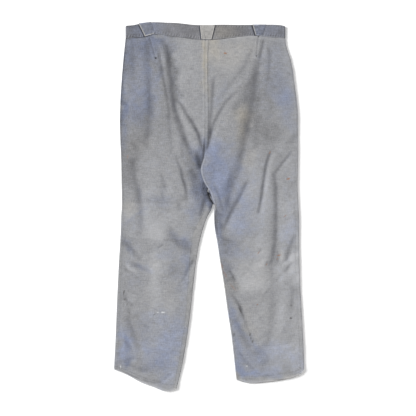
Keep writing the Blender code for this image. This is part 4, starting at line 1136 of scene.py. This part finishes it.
def front_panel(half, sizes):
    """The lower panel: flat on the floor, turned up at the side and at the inner leg."""
    wall = sizes.panel_wall / METRES
    inward = -half.sign
    side_x, inner_x = half.row("side_x"), half.row("inner_x")
    width = inner_x - side_x

    def upper_at(x):
        share = np.clip((x - side_x) / width, 0, 1)
        return half.upper_height(x, half.place(share, front=True), share, sizes)

    side_columns = 3
    leg_columns = 8 if half.sign < 0 else 3
    side = turned_edge(side_x, half.row("side_turn"), inward, wall, side_columns, upper_at)
    leg_turn = np.maximum(half.row("inner_turn"), LEAST_TURN)
    leg = turned_edge(inner_x, leg_turn, -inward, wall, leg_columns, upper_at)
    below = np.arange(len(half.at))[:, None] >= half.fork_row
    end_outer = np.where(below, leg[0][:, :1], half.row("front_x"))
    end_inner = np.where(below, leg[1][:, :1], half.row("front_x"))
    start = side_x + FRONT_FADE_SHARE * width
    floor_x = start + (end_outer - start) * np.linspace(0, 1, FLOOR_COLUMNS + 1)[None, :-1]
    outer_x = np.hstack([side[0][:, ::-1], floor_x, end_outer, leg[0][:, 1:]])
    inner_x_all = np.hstack([side[1][:, ::-1], floor_x, end_inner, leg[1][:, 1:]])
    flat = np.zeros_like(floor_x)
    outer_z = np.hstack([side[2][:, ::-1], flat, leg[2]])
    inner_z = np.hstack([side[3][:, ::-1], flat + wall, leg[3]])
    share = np.clip((outer_x - side_x) / width, 0, 1)
    y = half.place(share, front=True)
    outer, inner, used = wall_of(outer_x, inner_x_all, y, outer_z, inner_z)
    used[: half.fork_row, -(ROLL_STEPS + leg_columns) :] = False
    light, hue, grime = upper_fields(half, outer_x, y, share)
    edge = side_x if half.sign > 0 else half.row("inner_x")
    # Painted highlight on the edge that faces right, away from the key light
    light = light + RIGHT_FACING_EDGE_HIGHLIGHT * bell(outer_x - edge, 1.8)
    hue = hue - np.where(below & (share > 0.5), 0.08, 0.0)
    return outer, inner, used, (light, hue, grime), grain_of(half, outer_x, y, share)


def band_height(x, side_x):
    """The waistband's outer face, highest over the closure at the centre."""
    centre = bell(x, CLOSURE_HALF_WIDTH)
    wave = 0.3 * np.sin(np.abs(x - side_x) / 21.0)
    return BAND_SIDE_TOP + (BAND_TOP - BAND_SIDE_TOP) * centre + wave


def waistband(half, sizes):
    """From the centre back to the side, round it, and along the floor to the centre front."""
    wall = sizes.band_wall / METRES
    inward = -half.sign
    side_x, inner_x = half.side_x[0], half.inner_x[0]
    width = inner_x - side_x
    turn = half.side_turn[0] + 1.0
    angles = np.linspace(np.pi / 2, -np.pi / 2, ROLL_STEPS + 1)
    radius = min(ROLL_RADIUS, turn * 0.85) + 0.4
    roll_outer, roll_inner = rolled(side_x, inward, radius, wall, angles)
    back_end = inner_x - inward * SEAM_GAP / 2
    back_steps = round(abs(width) / BAND_PITCH)
    back_x = np.linspace(back_end, roll_outer[0], back_steps + 1)[:-1]
    slope = [-TAB_SLOPE, 0.0, TAB_LENGTH] if half.sign < 0 else [0.15]
    start = side_x + FRONT_FADE_SHARE * width
    floor_x = start + (half.front_x[0] - start) * np.linspace(0, 1, FLOOR_COLUMNS + 1)[:-1]
    floor_x = np.concatenate([floor_x, slope])
    outer_x = np.concatenate([back_x, roll_outer, floor_x])
    inner_x_all = np.concatenate([back_x, roll_inner, floor_x])
    up = np.concatenate([np.ones(len(back_x)), (1 + np.sin(angles)) / 2, np.zeros(len(floor_x))])

    share = np.clip((outer_x - side_x) / width, 0, 1)

    def waist_y(front):
        return half.place(share[None, :], front)[0]

    low_y = waist_y(False) * up + waist_y(True) * (1 - up)
    if half.sign < 0:
        low_y[-2:] += TAB_RISE
    high_y = along_table(half.band_top, share) - FRONT_WAIST_DROP * (1 - up)
    climb = np.linspace(0, 1, BAND_ROWS + 1)[:, None]
    y = low_y + SEAM_GAP + (high_y - low_y - SEAM_GAP) * climb
    x = np.broadcast_to(outer_x, y.shape)
    from_low, from_high = y - low_y, high_y - y
    top = band_height(x, side_x)
    ticks = np.sin((x - 0.35 * y) / 1.15 + 3.0 * cloudy(x, y * 0.2, 19, 31))
    ticks_low = ticks * bell(from_low - 5.0, 4.5) * (0.75 + 0.5 * cloudy(x, y * 0, 22, 32))
    ticks_high = ticks * bell(from_high - 4.0, 3.6) * (0.35 + 0.6 * cloudy(x, y * 0, 30, 33))
    ditch = bell(from_low - 2.2, 0.9) + bell(from_high - 2.6, 0.9)
    swell = 0.25 * cloudy(x, y * 1.4, 13, 34) + 0.3 * cloudy(x, y, 34, 35)
    top = top + swell + 0.24 * (ticks_low + ticks_high) - 0.30 * ditch
    outer_z = top * up
    inner_z = wall + (top - 2 * wall) * up
    if half.sign < 0:
        step = TAB_CLEARANCE + HOOK_THICK + 2 * SEAM_GAP
        on_tab = np.arange(len(outer_x)) >= len(outer_x) - 2
        outer_z, inner_z = outer_z + step * on_tab, inner_z + step * on_tab
    outer, inner, used = wall_of(x, inner_x_all, y, outer_z, inner_z)
    # Painted light and shade on the puckered ticks, and painted shade in the stitch ditches
    light = 0.06 * cloudy(x, y, 20, 36) + 0.13 * (ticks_low + ticks_high) - 0.08 * ditch
    light = light - 0.12 * bell(from_high - 0.8, 1.5)
    # Painted highlight along the lower edge, where the waist seam catches the light, stronger right of
    # the centre
    light = light + (0.06 + 0.20 * ease((x + WAIST_HIGHLIGHT_FADE) / WAIST_HIGHLIGHT_FADE)) * bell(from_low, 1.8)
    if half.sign > 0:
        light = light - 0.12 * bell(x - side_x + 1.2, 1.5) + 0.10 * bell(x - side_x + 5.0, 2.0)
    light = light - 0.15 * spot(x, y, -212, 484, 34, 40)
    hue = 0.8 * spot(x, y, -172, 486, 40, 40) + 0.4 * spot(x, y, 166, 486, 50, 24)
    hue = hue - 0.5 * spot(x, y, 40, 478, 40, 30) - 0.05
    light = light - 0.06 * spot(x, y, 66, 484, 50, 30) - 0.02 * spot(x, y, 190, 490, 40, 30)
    grime = 0.10 + 0.12 * np.maximum(cloudy(x, y, 15, 37), 0)
    for loop in LOOPS:
        top_left, top_right, foot_right, foot_left = loop.corners
        left_edge, right_edge = (
            top[0] + (foot[0] - top[0]) * (top[1] - y) / (top[1] - foot[1])
            for top, foot in ((top_left, foot_left), (top_right, foot_right))
        )
        # Painted shade in the gap beside each loop, darker and bluer on the band
        slit_shade = bell(x - left_edge + loop.gape, loop.gape + 0.1) * loop.left_slit
        slit_shade = slit_shade + bell(x - right_edge - 1.2, 1.3) * loop.right_slit
        grime = grime + slit_shade
        light = light - 0.25 * slit_shade
        hue = hue + slit_shade
    tones = tones_of(light, hue, grime)
    grain = np.stack([x, y], axis=-1)
    drop_rims(outer, inner, used)
    return outer, inner, used, tones, grain


def settle(heights):
    """Evens out heights read from the cloth below, and fills in where there was none."""
    heights = np.where(np.isnan(heights), np.nanmedian(heights), heights)
    even = heights
    for _ in range(SETTLE_PASSES):
        even = np.pad(even, 1, mode="edge")
        even = (even[:-2] + 2 * even[1:-1] + even[2:]) / 4
        even = (even[:, :-2] + 2 * even[:, 1:-1] + even[:, 2:]) / 4
    return np.maximum(even, heights)


def belt_loop(loop, surfaces):
    """A tapered strap sewn down at its top and foot, and a little proud between them."""
    corners = np.array(loop.corners, float)
    top_left, top_right, foot_right, foot_left = corners
    across_steps = round(np.linalg.norm(top_right - top_left) / LOOP_PITCH)
    down_steps = round(np.linalg.norm(foot_left - top_left) / LOOP_PITCH)
    across = np.linspace(0, 1, across_steps + 1)[None, :, None]
    down = np.linspace(0, 1, down_steps + 1)[:, None, None]
    top_edge = top_left + (top_right - top_left) * across
    foot_edge = foot_left + (foot_right - foot_left) * across
    flat = top_edge + (foot_edge - top_edge) * down
    x, y = flat[..., 0], flat[..., 1]
    below = [[drop_on(surfaces, px, py) for px, py in zip(*line)] for line in zip(x, y)]
    under = settle(np.array(below, float))
    across, down = across[..., 0], down[..., 0]
    wide = np.linalg.norm(top_right - top_left) * (1 - down * 0.3)
    high = np.linalg.norm(foot_left - top_left)
    from_left, from_right = across * wide, (1 - across) * wide
    from_foot, from_top = (1 - down) * high, down * high
    rise = loop.lift * np.sin(np.pi * down) ** 2 * (1 - 0.85 * ease(across))
    ditch = bell(from_left - 3.2, 0.8) + bell(from_right - 3.2, 0.8) + bell(from_foot - 3.4, 0.8)
    under = under + SEAM_GAP + rise
    flush = 0.0 if loop.right_slit else 0.6 * ease(across)
    top = under + LOOP_WALL * (1 - flush) - 0.28 * ditch * (1 - flush) + 0.12 * cloudy(x, y, 4, 42)
    outer, inner, used = wall_of(x, x, y, top, under)
    edge = np.minimum(np.minimum(from_left, from_right), np.minimum(from_foot, from_top))
    at_centre = loop.node == "loop_centre"
    if not at_centre:
        edge = edge + 8 * ease((from_left - 12) / 14)
    # Lighter along the worn edges, with painted shade in the stitch ditches
    light = (0.10 if at_centre else 0.24) * bell(edge - 1.0, 1.8) - 0.06 * ditch
    light = light + 0.05 * cloudy(x, y, 6, 43) + (0.06 if at_centre else -0.13)
    hue = np.full_like(x, -0.30 if at_centre else 0.65)
    if not at_centre:
        hue = hue - 0.9 * bell(from_left - 1.0, 1.7)
    if loop.node == "loop_left":
        light = light + 0.22 * bell(from_foot - 1.0, 1.4) + 0.30 * spot(x, y, -153.6, 478.5, 1.6, 4)
        hue = hue - 0.8 * bell(from_foot - 1.0, 1.6)
    grime = np.full_like(x, 0.03)
    tones = tones_of(light, hue, grime)
    drop_rims(outer, inner, used)
    return outer, inner, used, tones, flat


def one_stitch(sizes):
    """The points and faces of a stitch along X, pinched at its ends, which dip into the cloth."""
    reach, radius = sizes.stitch_length / 2, sizes.thread_radius
    bpy.ops.object.select_all(action="DESELECT")
    bpy.ops.mesh.primitive_cylinder_add(
        vertices=4, radius=radius, depth=STITCH_BODY * reach, rotation=(0, math.pi / 2, 0)
    )
    stitch = bpy.context.object
    bpy.ops.object.transform_apply(location=False, rotation=True, scale=False)
    bpy.ops.object.mode_set(mode="EDIT")
    for end in (-1, 1):
        bpy.ops.mesh.select_all(action="DESELECT")
        shape = bmesh.from_edit_mesh(stitch.data)
        for face in shape.faces:
            if face.normal.x * end > 0.9:
                face.select_set(True)
        bmesh.update_edit_mesh(stitch.data)
        tip = (STITCH_TIP * end * reach, 0, -STITCH_FALL * radius)
        bpy.ops.mesh.extrude_region_move(TRANSFORM_OT_translate={"value": tip})
        narrow = (1, STITCH_NARROW, STITCH_NARROW)
        bpy.ops.transform.resize(value=narrow, center_override=(end * reach, 0, tip[2]))
    bpy.ops.object.mode_set(mode="OBJECT")
    points = np.array([vertex.co[:] for vertex in stitch.data.vertices])
    faces = [list(face.vertices) for face in stitch.data.polygons]
    bpy.data.objects.remove(stitch)
    return points, faces


def thread_mesh(name, surfaces, runs, sizes, material):
    """Copies of one stitch laid on the cloth along each run of points, as one mesh."""
    stitch, stitch_faces = one_stitch(sizes)
    pitch = sizes.stitch_pitch / METRES
    points, faces = [], []
    for run in runs:
        run = np.asarray(run, float)
        lengths = np.concatenate([[0], np.cumsum(np.linalg.norm(np.diff(run, axis=0), axis=1))])
        at = np.arange(0.5, lengths[-1] / pitch - 0.5) * pitch
        middle, ahead, behind = (
            np.stack([np.interp(at + step, lengths, run[:, axis]) for axis in (0, 1)], axis=1)
            for step in (0, 1, -1)
        )
        along = ahead - behind
        along = along / np.linalg.norm(along, axis=1)[:, None]
        for (x, y), (ax, ay) in zip(middle, along):
            height = drop_on(surfaces, x, y)
            if height is None:
                continue
            lift = height * METRES + STITCH_LIFT * sizes.thread_radius
            faces += [[len(points) * len(stitch) + corner for corner in face] for face in stitch_faces]
            turned = stitch @ np.array([(ax, ay, 0), (-ay, ax, 0), (0, 0, 1)])
            points.append(turned + (x * METRES, y * METRES, lift))
    mesh = bpy.data.meshes.new(name)
    mesh.from_pydata(np.concatenate(points).tolist(), [], faces)
    mesh.validate()
    mesh.shade_smooth()
    mesh.materials.append(material)
    return add_object(name, mesh)


def drop_on(surfaces, x, y):
    """The height of the topmost cloth under a point, in millimetres."""
    best = None
    for surface in surfaces:
        hit = surface.ray_cast(Vector((x * METRES, y * METRES, 0.1)), Vector((0, 0, -1)))[0]
        if hit is not None and (best is None or hit.z > best):
            best = hit.z
    return None if best is None else best / METRES


def surface_of(name):
    """A piece's faces, ready for rays."""
    mesh = bpy.data.objects[name].data
    count = len(mesh.vertices)
    points = np.empty(count * 3)
    mesh.vertices.foreach_get("co", points)
    faces = [tuple(face.vertices) for face in mesh.polygons]
    return BVHTree.FromPolygons(points.reshape(-1, 3).tolist(), faces)


def halves(sizes):
    pitch = sizes.mesh_pitch / METRES
    left = Half(LEFT_SECTIONS, LEFT_FORK_ROW, LEFT_WAIST_BOW, LEFT_HEM_BOW, LEFT_BAND_TOP, pitch)
    right = Half(RIGHT_SECTIONS, RIGHT_FORK_ROW, RIGHT_WAIST_BOW, RIGHT_HEM_BOW, RIGHT_BAND_TOP, pitch)
    return {"left": left, "right": right}


def number_property(name, description, default, **kind):
    return FloatProperty(name=name, description=description, default=default, **kind)


def length_property(name, description, default):
    return number_property(name, description, default, unit="LENGTH")


def colour_property(name, description, default):
    value = (*default, 1.0)
    return FloatVectorProperty(
        name=name, description=description, default=value, size=4, subtype="COLOR", min=0, max=1
    )


class TrousersSizes(bpy.types.PropertyGroup):
    """Cloth and thread sizes."""

    panel_wall: length_property("Panel Wall", "Thickness of the leg panels", 0.0011)
    band_wall: length_property("Band Wall", "Thickness of the waistband", 0.0020)
    rest_height: length_property("Rest Height", "Height of the upper layer where it lies plain", 0.0054)
    fold_strength: number_property(
        "Fold Strength", "Share of the full height of the folds", 1.0, subtype="FACTOR"
    )
    mesh_pitch: length_property("Mesh Pitch", "Distance between the cloth's rows", 0.0025)
    stitch_length: length_property("Stitch Length", "Length of a stitch that shows", 0.0024)
    stitch_pitch: length_property("Stitch Pitch", "Distance between stitches", 0.0032)
    thread_radius: length_property("Thread Radius", "Half the thickness of the thread", 0.00026)


class TrousersColours(bpy.types.PropertyGroup):
    """Colours of the cloth, its wear, its painted shade and the stage."""

    back_cloth: colour_property("Back Cloth", "Faded cloth of the upper panels", (0.318, 0.321, 0.334))
    front_cloth: colour_property("Front Cloth", "Faded cloth of the lower panels", (0.318, 0.321, 0.332))
    band_cloth: colour_property("Band Cloth", "Darker cloth of the waistband", (0.215, 0.217, 0.235))
    loop_cloth: colour_property("Loop Cloth", "Cloth of the belt loops", (0.330, 0.328, 0.330))
    blue_yarn: colour_property("Blue", "Cloth that has kept its dye", (0.262, 0.295, 0.405))
    khaki_yarn: colour_property("Khaki", "Cloth that has yellowed", (0.370, 0.345, 0.300))
    # One dark colour for the painted shade in the folds and for grime
    grime: colour_property("Grime", "Soil in the folds", (0.090, 0.092, 0.105))
    rust: colour_property("Rust", "Orange and brown stains", (0.320, 0.150, 0.075))
    soil: colour_property("Soil", "Small dark marks", (0.085, 0.080, 0.075))
    # Near-black for the painted shadow in deep gaps between layers, and for small dark dots
    gap: colour_property("Gap", "Deep gaps between layers", (0.018, 0.019, 0.026))
    scuff: colour_property("Scuff", "Pale scuffs and paint flecks", (0.680, 0.690, 0.700))
    thread: colour_property("Thread", "Sewing thread", (0.430, 0.440, 0.470))
    hook: colour_property("Hook", "The hook's metal", (0.420, 0.420, 0.430))
    floor: colour_property("Floor", "The pale floor", (0.930, 0.930, 0.930))


class TrousersStage(bpy.types.PropertyGroup):
    """Camera and light."""

    camera_height: length_property("Camera Height", "Height of the camera over the floor", 3.5)
    key_power: number_property("Key Power", "Strength of the large soft light in watts", 620.0)
    fill_power: number_property("Fill Power", "Strength of the light from the other side in watts", 40.0)
    floor_glow: number_property("Floor Glow", "Light from the floor, as over a light table", 0.2)
    sky_strength: number_property("Sky Strength", "Even light from all round", 0.36)


class TROUSERS_OT_fronts(bpy.types.Operator):
    """Make both front panels, which lie on the floor and turn up at the edges"""

    bl_idname = "trousers.fronts"
    bl_label = "Fronts"

    def execute(self, context):
        sizes, colours = context.scene.trousers_sizes, context.scene.trousers_colours
        look = Look(tuple(colours.front_cloth), *LEG_TWILL)
        material = cloth_material("front cloth", look, marked=True)
        for name, half in halves(sizes).items():
            piece = cloth_object(f"front_{name}_cloth", *front_panel(half, sizes), material)
            dress(piece, [f"front_{name}"], 0.224)
        return {"FINISHED"}


class TROUSERS_OT_backs(bpy.types.Operator):
    """Make both back panels with their darts, folds, felled seam and hems"""

    bl_idname = "trousers.backs"
    bl_label = "Backs"

    def execute(self, context):
        sizes, colours = context.scene.trousers_sizes, context.scene.trousers_colours
        look = Look(tuple(colours.back_cloth), *LEG_TWILL)
        material = cloth_material("back cloth", look, marked=True)
        for name, half in halves(sizes).items():
            piece = cloth_object(f"back_{name}_cloth", *back_panel(half, sizes), material)
            dress(piece, [f"back_{name}"], 0.198)
        return {"FINISHED"}


class TROUSERS_OT_band(bpy.types.Operator):
    """Make both halves of the waistband"""

    bl_idname = "trousers.band"
    bl_label = "Waistband"

    def execute(self, context):
        sizes, colours = context.scene.trousers_sizes, context.scene.trousers_colours
        material = cloth_material("band cloth", Look(tuple(colours.band_cloth), *BAND_TWILL))
        for name, half in halves(sizes).items():
            piece = cloth_object(f"waistband_{name}_cloth", *waistband(half, sizes), material)
            length = 0.487 if name == "left" else 0.446
            dress(piece, [f"waistband_{name}"], length * 0.043)
        return {"FINISHED"}


class TROUSERS_OT_loops(bpy.types.Operator):
    """Make the three tapered belt loops"""

    bl_idname = "trousers.loops"
    bl_label = "Belt Loops"

    def execute(self, context):
        colours = context.scene.trousers_colours
        material = cloth_material("loop cloth", Look(tuple(colours.loop_cloth), *LOOP_TWILL))
        bands = ["waistband_left_cloth", "waistband_right_cloth"]
        surfaces = [surface_of(name) for name in (*bands, "back_left_cloth", "back_right_cloth")]
        for loop in LOOPS:
            piece = cloth_object(loop.name, *belt_loop(loop, surfaces), material)
            dress(piece, [loop.node], loop.area)
        return {"FINISHED"}


class TROUSERS_OT_fly(bpy.types.Operator):
    """Make the hidden fly shield and finish the hook"""

    bl_idname = "trousers.fly"
    bl_label = "Fly"

    def execute(self, context):
        sizes, colours = context.scene.trousers_sizes, context.scene.trousers_colours
        wall = sizes.panel_wall / METRES
        across = np.linspace(0, SHIELD_WIDTH, SHIELD_CELLS[1] + 1)[None, :]
        down = np.linspace(SHIELD_TOP_Y, SHIELD_FOOT_Y, SHIELD_CELLS[0] + 1)[:, None]
        x, y = across + 0 * down, down + 0 * across
        height = wall + 2 * SEAM_GAP + 0.1 * cloudy(x, y, 14, 51)
        outer, inner, used = wall_of(x, x, y, height + wall, height)
        plain = np.full_like(x, 0.5), np.full_like(x, 0.55), np.full_like(x, 0.02)
        material = cloth_material("shield cloth", Look(tuple(colours.front_cloth), *LEG_TWILL))
        drop_rims(outer, inner, used)
        grain = np.stack([x, y], axis=-1)
        piece = cloth_object("fly_shield_cloth", outer, inner, used, plain, grain, material)
        dress(piece, ["fly_shield"], 0.0082)
        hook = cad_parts["waist_hook"]
        hook.data.materials.clear()
        hook.data.materials.append(plain_material("hook metal", tuple(colours.hook), 0.38, 1.0))
        return {"FINISHED"}


class TROUSERS_OT_stitching(bpy.types.Operator):
    """Sew the seams, hems and waistband with stitches of thread"""

    bl_idname = "trousers.stitching"
    bl_label = "Stitching"

    def execute(self, context):
        sizes, colours = context.scene.trousers_sizes, context.scene.trousers_colours
        thread = plain_material("thread", tuple(colours.thread), 0.75)
        sides = halves(sizes)
        panels = {n: surface_of(f"back_{n}_cloth") for n in sides}
        fronts = {n: surface_of(f"front_{n}_cloth") for n in sides}
        bands = {n: surface_of(f"waistband_{n}_cloth") for n in sides}

        def edge_run(half, which, inset, first, last):
            rows = np.arange(first, last)
            share = inset / np.abs(half.inner_x - half.side_x)
            share = share if which == "side" else 1 - share
            x = half.side_x + (half.inner_x - half.side_x) * share
            y = half.place(share[:, None], front=False)[:, 0]
            return np.stack([x, y], axis=1)[rows]

        def hem_run(half, inset):
            row = int(np.argmin(np.abs(half.length - half.at - inset)))
            share = np.linspace(0.02, 0.98, 80)
            x = half.side_x[row] + (half.inner_x[row] - half.side_x[row]) * share
            y = half.place(share[None, :], front=False)[row]
            return np.stack([x, y], axis=1)

        def band_run(half, inset, from_top):
            x = np.linspace(half.side_x[0] - 2 * half.sign, half.inner_x[0] + half.sign, 120)
            share = np.clip((x - half.side_x[0]) / (half.inner_x[0] - half.side_x[0]), 0, 1)
            low = half.place(share[None, :], front=False)[0]
            high = along_table(half.band_top, share)
            return np.stack([x, high - inset if from_top else low + inset], axis=1)

        left, right = sides["left"], sides["right"]
        seat_rows, lap_top = (
            int(np.argmin(np.abs(right.inner_y - y))) for y in (SEAT_STITCH_FOOT, LAP_STITCH_TOP)
        )
        seat = [edge_run(right, "inner", inset, 0, seat_rows) for inset in SEAT_INSETS]
        seat.append(edge_run(left, "inner", SECOND_INSET, 0, seat_rows))
        seat.append(edge_run(right, "inner", LAP_INSET, lap_top, right.fork_row))
        add_thread("seat_stitches", list(panels.values()), seat, sizes, thread)
        legs = []
        for half in (left, right):
            end = len(half.at) - 1
            legs.append(edge_run(half, "side", half.side_turn + EDGE_INSET, 0, end))
            if np.mean(half.side_turn) > DEEP_TURN:
                legs.append(edge_run(half, "side", half.side_turn + SECOND_INSET, half.fork_row, end))
        for half in (left, right):
            end = len(half.at) - 1
            inset = half.inner_turn + EDGE_INSET
            legs.append(edge_run(half, "inner", inset, half.fork_row + 12, end))
        add_thread("leg_stitches", list(panels.values()), legs, sizes, thread)
        hems = [hem_run(half, HEM_DEPTH - HEM_INSET) for half in (left, right)]
        both = list(panels.values()) + list(fronts.values())
        add_thread("hem_stitches", both, hems, sizes, thread)
        band = []
        for half in (left, right):
            band += [band_run(half, BAND_LOW_INSET, False), band_run(half, BAND_TOP_INSET, True)]
        add_thread("band_stitches", list(bands.values()), band, sizes, thread)
        return {"FINISHED"}


def add_thread(name, surfaces, runs, sizes, material):
    piece = thread_mesh(name, surfaces, runs, sizes, material)
    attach(piece, "root")


class TROUSERS_OT_stage(bpy.types.Operator):
    """Make the floor, the lights and the camera"""

    bl_idname = "trousers.stage"
    bl_label = "Stage"

    def execute(self, context):
        stage, colours = context.scene.trousers_stage, context.scene.trousers_colours
        bpy.ops.object.select_all(action="DESELECT")
        bpy.ops.mesh.primitive_plane_add(size=12.0, location=(0, 0, -0.0003))
        floor = context.object
        floor.name = "floor"
        bpy.ops.object.transform_apply(location=True, rotation=True, scale=True)
        material, tree, shader, place = new_material("floor")
        paper = noise(tree, place, 40, 3.0, 0.5) - 0.5
        white = brighten(tree, tuple(colours.floor), 1.0 + paper * 0.01)
        tree.links.new(white, shader.inputs["Base Color"])
        shader.inputs["Roughness"].default_value = 0.9
        shader.inputs["Specular IOR Level"].default_value = 0.1
        shader.inputs["Emission Color"].default_value = (1.0, 1.0, 1.0, 1.0)
        shader.inputs["Emission Strength"].default_value = stage.floor_glow
        floor.data.materials.append(material)
        for name, place, size, power in (
            ("key", (-5.2, 2.1, 3.85), 3.2, stage.key_power),
            ("fill", (4.0, -2.0, 6.0), 5.0, stage.fill_power),
        ):
            light = bpy.data.lights.new(name, "AREA")
            light.size = size
            light.energy = power
            lamp = add_object(name, light)
            lamp.location = place
            lamp.rotation_euler = Vector(place).to_track_quat("Z", "Y").to_euler()
        world = bpy.data.worlds.new("studio")
        world.use_nodes = True
        sky = world.node_tree.nodes["Background"]
        sky.inputs["Color"].default_value = (1.0, 1.0, 1.0, 1.0)
        sky.inputs["Strength"].default_value = stage.sky_strength
        context.scene.world = world
        context.scene.view_settings.view_transform = "Standard"
        camera = bpy.data.cameras.new("camera")
        camera.sensor_width = 36.0
        camera.lens = 36.0 * stage.camera_height / (PICTURE_PIXELS * PIXEL_SIZE * METRES)
        holder = add_object("camera", camera)
        holder.location = (VIEW_MIDDLE[0] * METRES, VIEW_MIDDLE[1] * METRES, stage.camera_height)
        context.scene.camera = holder
        return {"FINISHED"}


class TROUSERS_PT_sidebar(bpy.types.Panel):
    """Lists the sizes and the pieces"""

    bl_label = "Work Trousers"
    bl_idname = "TROUSERS_PT_sidebar"
    bl_space_type = "VIEW_3D"
    bl_region_type = "UI"
    bl_category = "Trousers"

    def draw(self, context):
        for group in (getattr(context.scene, name) for name in GROUPS):
            box = self.layout.box()
            for name in group.__annotations__:
                box.prop(group, name)
        for operator in OPERATORS:
            self.layout.operator(operator.bl_idname)


OPERATORS = (
    TROUSERS_OT_fronts,
    TROUSERS_OT_backs,
    TROUSERS_OT_band,
    TROUSERS_OT_loops,
    TROUSERS_OT_fly,
    TROUSERS_OT_stitching,
    TROUSERS_OT_stage,
)
GROUPS = {
    "trousers_sizes": TrousersSizes,
    "trousers_colours": TrousersColours,
    "trousers_stage": TrousersStage,
}


def register():
    for kind in (*GROUPS.values(), *OPERATORS, TROUSERS_PT_sidebar):
        bpy.utils.register_class(kind)
    for name, kind in GROUPS.items():
        setattr(bpy.types.Scene, name, PointerProperty(type=kind))


def unregister():
    for name in GROUPS:
        delattr(bpy.types.Scene, name)
    for kind in (TROUSERS_PT_sidebar, *OPERATORS[::-1], *GROUPS.values()):
        bpy.utils.unregister_class(kind)


def main():
    register()
    bpy.ops.trousers.fronts()
    bpy.ops.trousers.backs()
    bpy.ops.trousers.band()
    bpy.ops.trousers.loops()
    bpy.ops.trousers.fly()
    bpy.ops.trousers.stitching()
    bpy.ops.trousers.stage()


if __name__ == "__main__":
    main()
